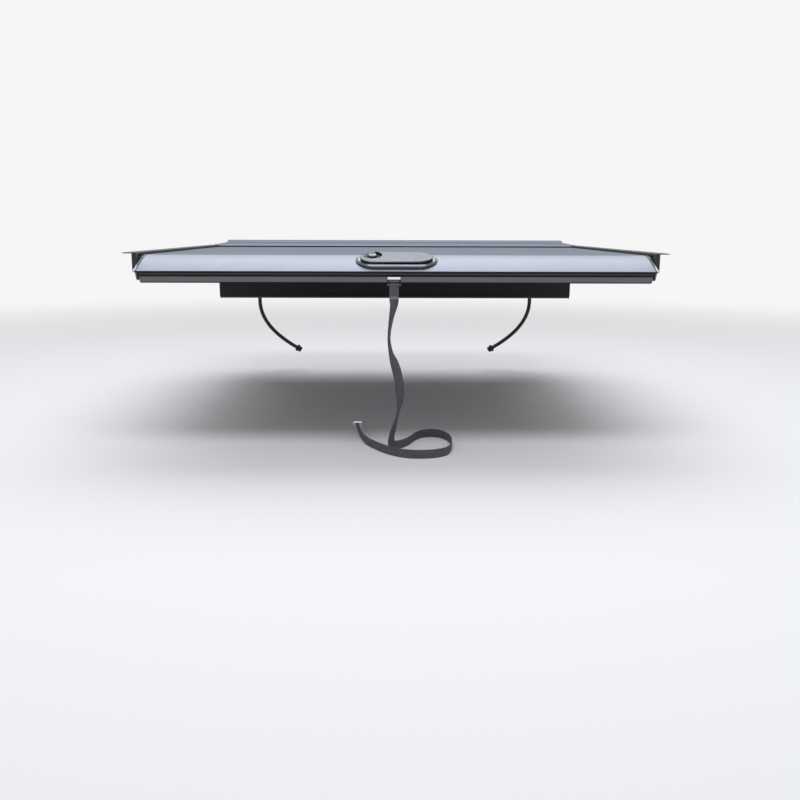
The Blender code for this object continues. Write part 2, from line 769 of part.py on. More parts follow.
def build_lock_base():
    """Make the gasket and the recessed base of the lock."""
    over = GASKET_THICK + 2.0 * GAP
    rim = stadium(BASE_LENGTH + 2.0 * GASKET_RIM, BASE_DEPTH + 2.0 * GASKET_RIM, BASE_STEPS)
    gasket = add_piece("lock_gasket", to_frame(prism_w(rim, -BASE_TOP, BASE_TOP)), RUBBER)
    combine(gasket, surface_band(GAP, GAP + GASKET_THICK), "INTERSECT")
    hole = stadium(BASE_LENGTH - 2.0 * GASKET_BAND, BASE_DEPTH - 2.0 * GASKET_BAND, BASE_STEPS)
    combine(gasket, to_frame(prism_w(hole, -2.0 * BASE_TOP, 2.0 * BASE_TOP)), "DIFFERENCE")
    body = bevelled(BASE_LENGTH, BASE_DEPTH, -BASE_TOP, BASE_TOP, BASE_BEVEL)
    base = add_piece("lock_base", to_frame(body), GLOSSY_NYLON)
    combine(base, surface_band(-BASE_TOP - BASE_TRIM, over), "DIFFERENCE")
    low = (CUP_LEFT - CUP_WALL, CUP_NEAR - CUP_WALL, CUP_FLOOR - CUP_WALL)
    high = (CUP_RIGHT + CUP_WALL, CUP_FAR + CUP_WALL, POCKET_FLOOR - GAP)
    combine(base, to_frame(block(low, high)), "UNION")
    pocket = stadium(POCKET_LENGTH, POCKET_DEPTH, BASE_STEPS)
    combine(base, to_frame(prism_w(pocket, POCKET_FLOOR, 2.0 * BASE_TOP)), "DIFFERENCE")
    low = (CUP_LEFT, CUP_NEAR, CUP_FLOOR)
    high = (CUP_RIGHT, CUP_FAR, BASE_TOP)
    combine(base, to_frame(block(low, high)), "DIFFERENCE")
    low = (SCOOP_LEFT, -BASE_DEPTH, SCOOP_FLOOR)
    high = (SCOOP_RIGHT, SCOOP_BACK, 2.0 * BASE_TOP)
    combine(base, to_frame(block(low, high)), "DIFFERENCE")
    combine(base, to_frame(hinge_groove()), "DIFFERENCE")
    for start in (BARREL_LEFT - LUG_WIDTH - RUN_GAP, BARREL_RIGHT + RUN_GAP):
        low = (start, HINGE_V - LUG_HALF, HINGE_GROOVE_FLOOR - LUG_ROOT)
        high = (start + LUG_WIDTH, HINGE_V + LUG_HALF, HINGE_W + LUG_RISE)
        combine(base, to_frame(block(low, high)), "UNION")
    start = BARREL_LEFT - 2.0 * LUG_WIDTH
    end = BARREL_RIGHT + 2.0 * LUG_WIDTH
    bore = rod_x(PIN_RADIUS + GAP, start, end, HINGE_V, HINGE_W, ROUND_STEPS)
    combine(base, to_frame(bore), "DIFFERENCE")
    hole = rod_w(KEY_RADIUS + RUN_GAP, -2.0 * BASE_TOP, 2.0 * BASE_TOP, KEY_U, KEY_V, ROUND_STEPS)
    combine(base, to_frame(hole), "DIFFERENCE")


def build_paddle():
    """Make the lift-up paddle and its hinge pin."""
    plate = bevelled(LID_LENGTH, LID_DEPTH, LID_BOTTOM, LID_TOP, LID_BEVEL)
    paddle = add_piece("lock_paddle", to_frame(plate), GLOSSY_NYLON)
    barrel = rod_x(BARREL_RADIUS, BARREL_LEFT, BARREL_RIGHT, HINGE_V, HINGE_W, ROUND_STEPS)
    combine(paddle, to_frame(barrel), "UNION")
    for start in (BARREL_LEFT - LUG_WIDTH - RUN_GAP, BARREL_RIGHT + RUN_GAP):
        low = (start - RUN_GAP, HINGE_V - RELIEF, 0.0)
        high = (start + LUG_WIDTH + RUN_GAP, HINGE_V + RELIEF, HINGE_W + RELIEF)
        combine(paddle, to_frame(block(low, high)), "DIFFERENCE")
    start = BARREL_LEFT - 2.0 * LUG_WIDTH
    end = BARREL_RIGHT + 2.0 * LUG_WIDTH
    bore = rod_x(PIN_RADIUS + GAP, start, end, HINGE_V, HINGE_W, ROUND_STEPS)
    combine(paddle, to_frame(bore), "DIFFERENCE")
    hollow = rod_w(KEY_HOLLOW, 0.0, 2.0 * LID_TOP, KEY_U, KEY_HOLLOW_V, 2 * ROUND_STEPS)
    combine(paddle, to_frame(hollow), "DIFFERENCE")
    low = (SCOOP_LEFT, -LID_DEPTH, 0.0)
    high = (SCOOP_RIGHT, SCOOP_BACK, LID_SCOOP_ROOF)
    combine(paddle, to_frame(block(low, high)), "DIFFERENCE")
    set_origin(paddle, POD_FRAME @ Vector((0.0, HINGE_V, HINGE_W)))
    start = BARREL_LEFT - LUG_WIDTH - RUN_GAP
    end = BARREL_RIGHT + LUG_WIDTH + RUN_GAP
    pin = rod_x(PIN_RADIUS, start, end, HINGE_V, HINGE_W, ROUND_STEPS)
    add_piece("paddle_pin", to_frame(pin), PLATED_STEEL)


def build_key():
    """Make the key cylinder and the cam that it turns."""
    profile = [
        (KEY_SHAFT_END, KEY_SHAFT_RADIUS),
        (KEY_BODY_END, KEY_SHAFT_RADIUS),
        (KEY_BODY_END, KEY_RADIUS),
        (KEY_TOP - KEY_EDGE, KEY_RADIUS),
        (KEY_TOP, KEY_RADIUS - KEY_EDGE),
    ]
    rings = []
    for height, radius in profile:
        outline = circle(radius, ROUND_STEPS, (KEY_U, KEY_V))
        rings.append([(x, y, height) for x, y in outline])
    key = add_piece("key_cylinder", to_frame(loft(rings)), PLATED_STEEL)
    low = (KEY_U - KEY_SLOT_WIDTH / 2.0, KEY_V - KEY_SLOT_LENGTH / 2.0, KEY_TOP - KEY_SLOT_DEPTH)
    high = (KEY_U + KEY_SLOT_WIDTH / 2.0, KEY_V + KEY_SLOT_LENGTH / 2.0, 2.0 * KEY_TOP)
    combine(key, to_frame(block(low, high)), "DIFFERENCE")
    disc = rod_w(CAM_RADIUS, CAM_BOTTOM, CAM_TOP, KEY_U, KEY_V, 2 * ROUND_STEPS)
    cam = add_piece("lock_cam", to_frame(disc), PLATED_STEEL)
    hole = rod_w(KEY_SHAFT_RADIUS + GAP, 2.0 * CAM_BOTTOM, 0.0, KEY_U, KEY_V, ROUND_STEPS)
    combine(cam, to_frame(hole), "DIFFERENCE")
    middle = (CAM_TOP + CAM_BOTTOM) / 2.0
    for side, end in ((1.0, CAM_TOP + PEG_REACH), (-1.0, CAM_BOTTOM - PEG_REACH)):
        u = KEY_U + side * PEG_OFFSET
        v = KEY_V + side * PEG_OFFSET
        peg = rod_w(PEG_RADIUS, min(middle, end), max(middle, end), u, v, ROUND_STEPS)
        combine(cam, to_frame(peg), "UNION")
    for piece in (key, cam):
        set_origin(piece, POD_FRAME @ Vector((KEY_U, KEY_V, 0.0)))


def build_rods():
    """Make the two latch rods, each with a slotted lug over or under the cam."""
    for side, name in ((-1.0, "left"), (1.0, "right")):
        start = KEY_U + side * ROD_START
        bar = rod_x(ROD_RADIUS, start, side * PANEL_HALF, KEY_V, ROD_W, ROUND_STEPS)
        rod = add_piece(f"latch_rod_{name}", to_frame(bar), PLATED_STEEL)
        near = CAM_TOP + GAP if side < 0.0 else CAM_BOTTOM - GAP - LUG_THICK
        peg_u = KEY_U - side * PEG_OFFSET
        foot = start + side * LUG_FOOT
        tip = peg_u - side * LUG_END
        v_in = KEY_V - side * LUG_INNER
        v_out = KEY_V - side * LUG_OUTER
        v_foot = KEY_V + side * ROD_RADIUS / 2.0
        outline = [
            (foot, v_foot),
            (start, v_foot),
            (start, v_in),
            (tip, v_in),
            (tip, v_out),
            (foot, v_out),
        ]
        combine(rod, to_frame(prism_w(outline, near, near + LUG_THICK)), "UNION")
        half = PEG_RADIUS + SLOT_CLEAR
        far_v = KEY_V - side * (PEG_ARM + half)
        near_v = KEY_V - side * (PEG_OFFSET - half)
        low = (peg_u - half, min(far_v, near_v), near - LUG_THICK)
        high = (peg_u + half, max(far_v, near_v), near + 2.0 * LUG_THICK)
        combine(rod, to_frame(block(low, high)), "DIFFERENCE")
        set_origin(rod, Vector((0.0, ROD_Y, ROD_Z)))


def build_rails():
    """Make the two side rails and the moulded plugs with the latch keepers."""
    latch_top = ROD_Z + LATCH_HALF
    latch_low = ROD_Z - LATCH_HALF
    outline = [
        (LIP_INNER, RAIL_TOP),
        (SEAT_OUTER, RAIL_TOP),
        (SEAT_OUTER, SEAT_PLANE),
        (WEB_OUTER, SEAT_PLANE),
        (WEB_OUTER, RAIL_BOTTOM),
        (LIP_INNER, RAIL_BOTTOM),
        (LIP_INNER, latch_low),
        (WEB_INNER, latch_low),
        (WEB_INNER, latch_top),
        (LIP_INNER, latch_top),
        (LIP_INNER, latch_top + LEDGE),
        (WEB_INNER, latch_top + LEDGE),
        (WEB_INNER, LEDGE_TOP - LEDGE),
        (LIP_INNER, LEDGE_TOP - LEDGE),
        (LIP_INNER, LEDGE_TOP),
        (WEB_INNER, LEDGE_TOP),
        (WEB_INNER, LIP_UNDER),
        (LIP_INNER, LIP_UNDER),
    ]
    plug = [
        (LIP_INNER + PLUG_INSET, RAIL_TOP - PLUG_INSET),
        (SEAT_OUTER - PLUG_INSET, RAIL_TOP - PLUG_INSET),
        (SEAT_OUTER - PLUG_INSET, SEAT_PLANE + PLUG_INSET),
        (WEB_OUTER - PLUG_INSET, SEAT_PLANE + PLUG_INSET),
        (WEB_OUTER - PLUG_INSET, RAIL_BOTTOM + PLUG_INSET),
        (LIP_INNER + PLUG_INSET, RAIL_BOTTOM + PLUG_INSET),
    ]
    plug_front = RAIL_REAR - GAP
    for side, name in ((-1.0, "left"), (1.0, "right")):
        add_piece(f"side_rail_{name}", prism_y(outline, RAIL_REAR, RAIL_FRONT, side), COATED_ALUMINIUM)
        body = prism_y(plug, plug_front - PLUG_LENGTH, plug_front, side)
        piece = add_piece(f"rail_plug_{name}", body, MOULDED_NYLON)
        tongue = [
            (KEEPER_INNER, latch_low + GAP),
            (WEB_INNER - GAP, latch_low + GAP),
            (WEB_INNER - GAP, latch_top - GAP),
            (KEEPER_INNER, latch_top - GAP),
        ]
        keeper = prism_y(tongue, plug_front - PLUG_LENGTH / 2.0, RAIL_REAR + KEEPER_LENGTH, side)
        combine(piece, keeper, "UNION")
        hole = rod_x(ROD_RADIUS + RUN_GAP, side * LIP_INNER, side * WEB_INNER, ROD_Y, ROD_Z, ROUND_STEPS)
        combine(piece, hole, "DIFFERENCE")


def build_canister():
    """Make the tray, lid, end plates and mouth wiper of the canister."""
    half = TRAY_SHEET / 2.0
    rear = TRAY_REAR + half
    front = TRAY_FRONT - half
    bottom = TRAY_BOTTOM + half
    path = [(rear, TRAY_MOUTH)]
    low_rear = (rear + TRAY_CORNER, bottom + TRAY_CORNER)
    path += corner(low_rear, TRAY_CORNER, math.pi, 1.5 * math.pi, CORNER_STEPS)
    low_front = (front - TRAY_CORNER, bottom + TRAY_CORNER)
    path += corner(low_front, TRAY_CORNER, 1.5 * math.pi, math.tau, CORNER_STEPS)
    path += [(front, END_TOP)]
    outline = sheet_outline(path, TRAY_SHEET)
    tray = add_piece("canister_tray", prism_x(outline, -TRAY_HALF, TRAY_HALF), COATED_STEEL)
    for side in (-1.0, 1.0):
        hole = rod_w(SPIGOT_RADIUS + GAP, 2.0 * TRAY_BOTTOM, DRUM_Z, side * DRAIN_X, DRAIN_Y, ROUND_STEPS)
        combine(tray, hole, "DIFFERENCE")
    level = LID_UNDER + LID_SHEET / 2.0
    crest = level + LID_RISE + LID_UPSTAND
    skirt = TRAY_FRONT + GAP + LID_SHEET / 2.0
    path = [
        (LID_REAR, level),
        (TRAY_REAR, level),
        (skirt - LID_UPSTAND_WIDTH, level + LID_RISE),
        (skirt - LID_UPSTAND_WIDTH, crest),
        (skirt, crest),
        (skirt, crest - LID_SKIRT - LID_UPSTAND),
    ]
    outline = sheet_outline(path, LID_SHEET)
    add_piece("canister_lid", prism_x(outline, -END_OUTER, END_OUTER), COATED_ALUMINIUM)
    tab_low = RAIL_BOTTOM - LEDGE
    plate = [
        (TRAY_REAR - END_TAB, END_TAB_TOP),
        (TRAY_REAR, END_TAB_TOP),
        (TRAY_REAR, END_TOP),
        (TRAY_FRONT, END_TOP),
        (TRAY_FRONT, TRAY_BOTTOM + TRAY_CORNER / 2.0),
        (TRAY_FRONT - TRAY_CORNER / 2.0, TRAY_BOTTOM),
        (TRAY_REAR + TRAY_CORNER / 2.0, TRAY_BOTTOM),
        (TRAY_REAR, TRAY_BOTTOM + TRAY_CORNER / 2.0),
        (TRAY_REAR, tab_low),
        (TRAY_REAR - END_TAB, tab_low),
    ]
    for side, name in ((-1.0, "left"), (1.0, "right")):
        inner = side * END_INNER
        outer = side * END_OUTER
        end = add_piece(f"canister_end_{name}", prism_x(plate, inner, outer), MOULDED_NYLON)
        hole = rod_x(AXLE_NECK + GAP, inner - side * GAP, outer + side * GAP, DRUM_Y, DRUM_Z, ROUND_STEPS)
        combine(end, hole, "DIFFERENCE")
    low = (-LIP_INNER + RUN_GAP, LID_REAR + LID_HEM, DECK_TOP + GAP)
    high = (LIP_INNER - RUN_GAP, LID_REAR + LID_HEM + WIPER_THICK, LID_UNDER - GAP)
    add_piece("mouth_wiper", block(low, high), RUBBER)


def build_drum():
    """Make the winding drum, its bushes, the fixed axle and the recoil spring."""
    bore = DRUM_RADIUS - DRUM_WALL
    section = [
        (-DRUM_HALF, bore),
        (DRUM_HALF, bore),
        (DRUM_HALF, DRUM_RADIUS),
        (-DRUM_HALF, DRUM_RADIUS),
    ]
    axis = Vector((0.0, DRUM_Y, DRUM_Z))
    drum = add_piece("drum_tube", ring_x(section, DRUM_Y, DRUM_Z, DRUM_STEPS), GREY_ALUMINIUM)
    set_origin(drum, axis)
    for side, name in ((-1.0, "left"), (1.0, "right")):
        face = DRUM_HALF + GAP
        section = [
            (side * (DRUM_HALF - BUSH_LENGTH), AXLE_RADIUS + GAP),
            (side * (face + BUSH_RIM), AXLE_RADIUS + GAP),
            (side * (face + BUSH_RIM), BUSH_FLANGE),
            (side * face, BUSH_FLANGE),
            (side * face, bore - GAP),
            (side * (DRUM_HALF - BUSH_LENGTH), bore - GAP),
        ]
        shape = ring_x(section, DRUM_Y, DRUM_Z, DRUM_STEPS)
        bush = add_piece(f"drum_bush_{name}", shape, MOULDED_NYLON)
        set_origin(bush, axis)
    profile = [
        (-AXLE_END, AXLE_NECK),
        (-AXLE_SHOULDER, AXLE_NECK),
        (-AXLE_SHOULDER, AXLE_RADIUS),
        (AXLE_SHOULDER, AXLE_RADIUS),
        (AXLE_SHOULDER, AXLE_NECK),
        (AXLE_END, AXLE_NECK),
    ]
    add_piece("drum_axle", lathe_x(profile, DRUM_Y, DRUM_Z, ROUND_STEPS), PLATED_STEEL)
    points = [Vector((SPRING_START, DRUM_Y + AXLE_RADIUS + GAP, DRUM_Z))]
    for index in range(SPRING_TURNS * SPRING_STEPS + 1):
        turn = math.tau * index / SPRING_STEPS
        x = SPRING_START + SPRING_LENGTH * index / (SPRING_TURNS * SPRING_STEPS)
        y = DRUM_Y + SPRING_RADIUS * math.cos(turn)
        z = DRUM_Z + SPRING_RADIUS * math.sin(turn)
        points.append(Vector((x, y, z)))
    add_piece("recoil_spring", tube(points, SPRING_WIRE, SPRING_SIDES), PLATED_STEEL)
    gap = least_gap(points, SPRING_WIRE, SPRING_STEPS // 2)
    print(f"recoil_spring: least gap to itself {gap:.4f} m")


def build_leader():
    """Make the band that ties the last slat to the drum."""
    start = SLATS_END + HOOK_REACH + RUN_GAP
    level = DECK_TOP - LEADER_DROP
    ring = DRUM_RADIUS + GAP + LEADER_SHEET / 2.0
    span = math.hypot(DRUM_Y - LEADER_BEND_Y, DRUM_Z - level)
    slope = math.atan2(DRUM_Z - level, DRUM_Y - LEADER_BEND_Y) + math.asin(ring / span)
    first = slope + math.pi / 2.0
    path = [(start, level), (LEADER_BEND_Y, level)]
    path += corner((DRUM_Y, DRUM_Z), ring, first, first - LEADER_WRAP, LEADER_STEPS)
    outline = sheet_outline(path, LEADER_SHEET)
    add_piece("leader_band", prism_x(outline, -LEADER_HALF, LEADER_HALF), COATED_FABRIC)


def build_clamps():
    """Make the four clamps under the seat flanges and their pinch bolts."""
    inner = WEB_OUTER + GAP
    jaw_low = CLAMP_JAW_TOP - CLAMP_JAW_THICK
    outline = [
        (inner, CLAMP_LEG_TOP),
        (inner + CLAMP_SHEET, CLAMP_LEG_TOP),
        (inner + CLAMP_SHEET, CLAMP_JAW_TOP),
        (SEAT_OUTER, CLAMP_JAW_TOP),
        (SEAT_OUTER, jaw_low),
        (inner, jaw_low),
    ]
    head_top = jaw_low - BOLT_HEAD_DROP
    pad_low = BOLT_PAD_TOP - BOLT_PAD_HEIGHT
    for side, hand in ((-1.0, "left"), (1.0, "right")):
        for y, place in ((CLAMP_REAR_Y, "rear"), (CLAMP_FRONT_Y, "front")):
            body = prism_y(outline, y - CLAMP_WIDTH / 2.0, y + CLAMP_WIDTH / 2.0, side)
            clamp = add_piece(f"clamp_{place}_{hand}", body, COATED_STEEL)
            x = side * BOLT_X
            hole = rod_w(BOLT_RADIUS + GAP, 2.0 * jaw_low, CLAMP_LEG_TOP, x, y, BOLT_SIDES)
            combine(clamp, hole, "DIFFERENCE")
            shank = rod_w(BOLT_RADIUS, head_top, pad_low + GAP, x, y, BOLT_SIDES)
            bolt = add_piece(f"clamp_bolt_{place}_{hand}", shank, PLATED_STEEL)
            head = rod_w(BOLT_HEAD_RADIUS, head_top - BOLT_HEAD_HEIGHT, head_top + GAP, x, y, HEX_SIDES)
            combine(bolt, head, "UNION")
            pad = rod_w(BOLT_PAD_RADIUS, pad_low, BOLT_PAD_TOP, x, y, BOLT_SIDES)
            combine(bolt, pad, "UNION")


def hose_run(side):
    """Return the points of one drain hose from its spigot to its grommet."""
    top = Vector((side * DRAIN_X, DRAIN_Y, TRAY_BOTTOM - SPIGOT_RIM - SPIGOT_LENGTH - 2.0 * GAP))
    end = Vector((side * (DRAIN_X + HOSE_REACH.x), DRAIN_Y + HOSE_REACH.y, TRAY_BOTTOM + HOSE_REACH.z))
    down = Vector((0.0, 0.0, -1.0))
    begin = top + down * HOSE_STRAIGHT
    high = top + down * HOSE_KNEE_HIGH
    low = end + Vector((side * HOSE_KNEE_LOW.x, HOSE_KNEE_LOW.y, HOSE_KNEE_LOW.z))
    points = [top]
    for index in range(HOSE_STEPS + 1):
        t = index / HOSE_STEPS
        s = 1.0 - t
        points.append(begin * s**3 + high * 3.0 * s**2 * t + low * 3.0 * s * t**2 + end * t**3)
    return points


def build_drains():
    """Make the drain spigots, hoses and bulkhead grommets."""
    for side, name in ((-1.0, "left"), (1.0, "right")):
        x = side * DRAIN_X
        low = TRAY_BOTTOM - GAP - SPIGOT_RIM
        rim = rod_w(SPIGOT_FLANGE, low, TRAY_BOTTOM - GAP, x, DRAIN_Y, ROUND_STEPS)
        spigot = add_piece(f"drain_spigot_{name}", rim, MOULDED_NYLON)
        top = TRAY_BOTTOM + TRAY_SHEET
        neck = rod_w(SPIGOT_RADIUS, low - SPIGOT_LENGTH, top, x, DRAIN_Y, ROUND_STEPS)
        combine(spigot, neck, "UNION")
        bore = rod_w(SPIGOT_BORE, low - 2.0 * SPIGOT_LENGTH, DRUM_Z, x, DRAIN_Y, ROUND_STEPS)
        combine(spigot, bore, "DIFFERENCE")
        points = hose_run(side)
        add_hose(f"drain_hose_{name}", points, RUBBER)
        along = (points[-1] - points[-2]).normalized()
        turn = Vector((0.0, 0.0, 1.0)).rotation_difference(along).to_matrix().to_4x4()
        place = Matrix.Translation(points[-1]) @ turn
        rings = []
        for height, radius in (
            (-GROMMET_SOCKET, GROMMET_RADIUS),
            (GROMMET_RIM - GROMMET_SOCKET, GROMMET_RADIUS),
            (GROMMET_RIM - GROMMET_SOCKET, GROMMET_WAIST),
            (GROMMET_LENGTH, GROMMET_WAIST),
        ):
            outline = circle(radius, ROUND_STEPS)
            rings.append([place @ Vector((a, b, height)) for a, b in outline])
        grommet = add_piece(f"drain_grommet_{name}", loft(rings), RUBBER)
        for radius, end in ((HOSE_BORE, 2.0 * GROMMET_LENGTH), (HOSE_RADIUS + RUN_GAP, GAP)):
            inner = circle(radius, ROUND_STEPS)
            ends = (-GROMMET_LENGTH, end)
            bore = loft([[place @ Vector((a, b, height)) for a, b in inner] for height in ends])
            combine(grommet, bore, "DIFFERENCE")


def strap_run():
    """Return the route of the pull strap and its width directions, from the fold to the hook."""
    x = STRAP_X
    reach = STRAP_THICK / 2.0 + RUN_GAP
    rail_low = ANCHOR_TOP - ANCHOR_PLATE - ANCHOR_WINDOW - ANCHOR_RAIL
    rail_top = rail_low + ANCHOR_RAIL
    front = BAR_REAR - GAP
    back = front - ANCHOR_THICK
    flat = Vector((1.0, 0.0, 0.0))
    inner = front + reach
    outer = back - reach
    middle = (inner + outer) / 2.0
    near = middle - STRAP_THICK / 2.0 - GAP
    far = middle + STRAP_THICK / 2.0 + GAP
    fold_end = rail_low - FOLD_LENGTH
    points = [
        Vector((x, far, fold_end)),
        Vector((x, far, rail_low - ANCHOR_RAIL)),
        Vector((x, inner, rail_low)),
        Vector((x, inner, rail_top + reach)),
        Vector((x, outer, rail_top + reach)),
        Vector((x, outer, rail_low)),
        Vector((x, near, rail_low - ANCHOR_RAIL)),
        Vector((x, near, fold_end)),
    ]
    across = [flat.copy() for point in points]
    return points, across


def strap_loop(start):
    """Return points and width directions of the free run, which hangs and then stands on edge in a loop."""
    edge = FLOOR_Z + STRAP_WIDTH / 2.0 + GAP
    flat = Vector((1.0, 0.0, 0.0))
    turned = Vector((0.5, 1.0, 0.0))
    slant = Vector((0.8, 0.6, 0.4))
    upright = Vector((0.0, 0.0, 1.0))
    stations = [
        (start, flat),
        (Vector((-0.008, 0.004, -0.160)), flat),
        (Vector((-0.012, 0.012, -0.205)), turned),
        (Vector((-0.013, 0.022, -0.255)), turned),
        (Vector((0.000, 0.032, -0.305)), turned),
        (Vector((0.010, 0.042, -0.355)), flat),
        (Vector((0.014, 0.052, -0.405)), flat),
        (Vector((0.006, 0.066, -0.455)), slant),
        (Vector((-0.004, 0.090, -0.500)), slant),
        (Vector((0.006, 0.128, edge)), upright),
        (Vector((0.044, 0.166, edge)), upright),
        (Vector((0.100, 0.182, edge)), upright),
        (Vector((0.146, 0.142, edge)), upright),
        (Vector((0.160, 0.070, edge)), upright),
        (Vector((0.142, 0.000, edge)), upright),
        (Vector((0.098, -0.056, edge)), upright),
        (Vector((0.040, -0.078, edge)), upright),
        (Vector((-0.016, -0.050, edge)), upright),
        (Vector((-0.058, 0.014, edge)), upright),
        (Vector((-0.088, 0.098, edge)), upright),
        (Vector((-0.106, 0.190, edge)), upright),
        (Vector((-0.118, 0.280, edge)), upright),
    ]
    points = smooth_run([point for point, turn in stations], STRAP_SMOOTH)
    across = smooth_run([turn for point, turn in stations], STRAP_SMOOTH)
    return points, across


def build_strap():
    """Make the strap anchor, the webbing strap and its snap hook."""
    front = BAR_REAR - GAP
    back = front - ANCHOR_THICK
    low = ANCHOR_TOP - ANCHOR_PLATE - ANCHOR_WINDOW - ANCHOR_RAIL
    half = ANCHOR_WIDTH / 2.0
    corners = ((STRAP_X - half, back, low), (STRAP_X + half, front, ANCHOR_TOP))
    anchor = add_piece("strap_anchor", block(*corners), PLATED_STEEL)
    gap_half = half - ANCHOR_SIDE
    window_low = (STRAP_X - gap_half, back - SLIDE_GAP, low + ANCHOR_RAIL)
    window_high = (STRAP_X + gap_half, front + SLIDE_GAP, low + ANCHOR_RAIL + ANCHOR_WINDOW)
    combine(anchor, block(window_low, window_high), "DIFFERENCE")
    points, across = strap_run()
    more, turns = strap_loop(points[-1])
    points += more[1:]
    across += turns[1:]
    add_piece("pull_strap", ribbon(points, across, STRAP_WIDTH, STRAP_THICK), WEBBING)
    along = (points[-1] - points[-2]).normalized()
    start = points[-1] + along * RUN_GAP
    side = Vector((0.0, 0.0, 1.0)).cross(along)
    upright = Vector((0.0, 0.0, 1.0))
    wire = []
    for index in range(HOOK_STEPS + 1):
        turn = math.pi * (index / HOOK_STEPS - 0.5)
        reach = HOOK_LENGTH - HOOK_NOSE + HOOK_NOSE * math.cos(turn)
        wire.append(start + along * reach + side * (HOOK_NOSE * math.sin(turn)))
    wire.append(start + along * HOOK_EYE + side * HOOK_NOSE)
    run = tube(wire, HOOK_WIRE, HOOK_SIDES)
    hook = add_piece("snap_hook", run, PLATED_STEEL)
    rings = []
    for reach in (0.0, HOOK_EYE):
        centre = start + along * reach
        wide = side * (HOOK_NOSE + HOOK_WIRE)
        tall = upright * (STRAP_WIDTH / 2.0)
        rings.append([centre + wide + tall, centre - wide + tall, centre - wide - tall, centre + wide - tall])
    combine(hook, loft(rings), "UNION")
    bar = [wire[0], start + along * (HOOK_EYE - HOOK_WIRE) - side * HOOK_NOSE]
    combine(hook, tube(bar, HOOK_WIRE, HOOK_SIDES), "UNION")


def main():
    """Clear the scene and make every piece."""
    for item in list(bpy.data.objects):
        bpy.data.objects.remove(item, do_unlink=True)
    build_rails()
    build_canister()
    build_drum()
    build_leader()
    build_slats()
    build_tail_panel()
    build_tail_caps()
    build_tail_bar()
    build_lock_base()
    build_paddle()
    build_key()
    build_rods()
    build_clamps()
    build_drains()
    build_strap()


main()
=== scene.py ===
"""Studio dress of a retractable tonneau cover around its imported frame.

X is to the right, Y forward to the cab and Z up. Sizes are in metres and the
angles in fields are in degrees. The camera stands behind the tail panel, a
little above the deck.
"""

import logging
import math
from dataclasses import dataclass
from enum import Enum
from typing import Any, Dict, List, Optional, Sequence, Tuple

import bpy
from mathutils import Matrix, Vector


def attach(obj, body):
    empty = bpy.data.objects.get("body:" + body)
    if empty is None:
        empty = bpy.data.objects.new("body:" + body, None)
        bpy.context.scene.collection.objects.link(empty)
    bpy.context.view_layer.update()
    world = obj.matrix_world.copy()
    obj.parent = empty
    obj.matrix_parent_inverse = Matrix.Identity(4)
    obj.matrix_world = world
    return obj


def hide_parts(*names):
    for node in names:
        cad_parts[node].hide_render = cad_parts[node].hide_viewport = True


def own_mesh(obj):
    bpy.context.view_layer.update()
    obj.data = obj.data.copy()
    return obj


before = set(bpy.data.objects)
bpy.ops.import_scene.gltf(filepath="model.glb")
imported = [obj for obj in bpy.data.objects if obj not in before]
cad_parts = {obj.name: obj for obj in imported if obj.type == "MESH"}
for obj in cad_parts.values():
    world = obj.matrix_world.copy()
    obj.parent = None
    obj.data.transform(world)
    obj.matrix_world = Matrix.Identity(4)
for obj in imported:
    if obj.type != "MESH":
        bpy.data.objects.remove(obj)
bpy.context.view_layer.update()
LOG = logging.getLogger("tonneau_cover")

Pair = Tuple[float, float]
Triple = Tuple[float, float, float]
Piece = bpy.types.Object
Tree = bpy.types.NodeTree
Node = bpy.types.Node
Socket = bpy.types.NodeSocket

QUARTER = math.pi / 2.0
MM_PER_M = 1000.0
HOME = Matrix.Identity(4).freeze()
ACROSS = Vector((1.0, 0.0, 0.0)).freeze()
UPRIGHT = Vector((0.0, 0.0, 1.0)).freeze()
WHITE = (1.0, 1.0, 1.0, 1.0)
BLACK = (0.0, 0.0, 0.0, 1.0)
# Places of the colour sockets on Blender's mix node
MIX_A, MIX_B, MIX_COLOUR = 6, 7, 2
# Blender's wave texture repeats every tau / 20 at a scale of 1
WAVE_TURN = math.tau / 20.0
# Half the section of a woven band with soft edges, in halves of its width and thickness
BAND_HALF = ((-1.0, 0.0), (-0.93, 0.8), (-0.5, 1.0), (0.0, 1.0), (0.5, 1.0), (0.93, 0.8))
BAND_ANGLE = 60.0


class Body(Enum):
    """The moving bodies of the cover."""

    FRAME = "frame"
    DRUM = "drum"
    CURTAIN = "curtain"
    PADDLE = "paddle"
    KEY = "key"
    ROD_LEFT = "rod_left"
    ROD_RIGHT = "rod_right"


class Grain(Enum):
    """How the small relief of a surface was made."""

    ORANGE_PEEL = "orange_peel"
    SPARK = "spark"
    DRAWN = "drawn"


class Cut(Enum):
    """What a tool does to a piece."""

    AWAY = "DIFFERENCE"
    JOIN = "UNION"


class Hand(Enum):
    """The two sides of the cover, with the sign of their X."""

    LEFT = -1.0
    RIGHT = 1.0

    @property
    def word(self) -> str:
        """Return the side's name as the nodes have it."""
        return self.name.lower()


def linear(code: str) -> Tuple[float, float, float, float]:
    """Turn an sRGB hex colour into linear RGBA, by the curve of that standard.

    Args:
        code: The colour as "#rrggbb".

    Returns:
        Linear red, green, blue and an alpha of 1.
    """
    channels = []
    for start in (1, 3, 5):
        value = int(code[start : start + 2], 16) / 255.0
        channels.append(value / 12.92 if value <= 0.04045 else ((value + 0.055) / 1.055) ** 2.4)
    return (channels[0], channels[1], channels[2], 1.0)


def per_mm(size: float) -> float:
    """Return the texture scale, per metre, of features so many millimetres wide."""
    return MM_PER_M / size


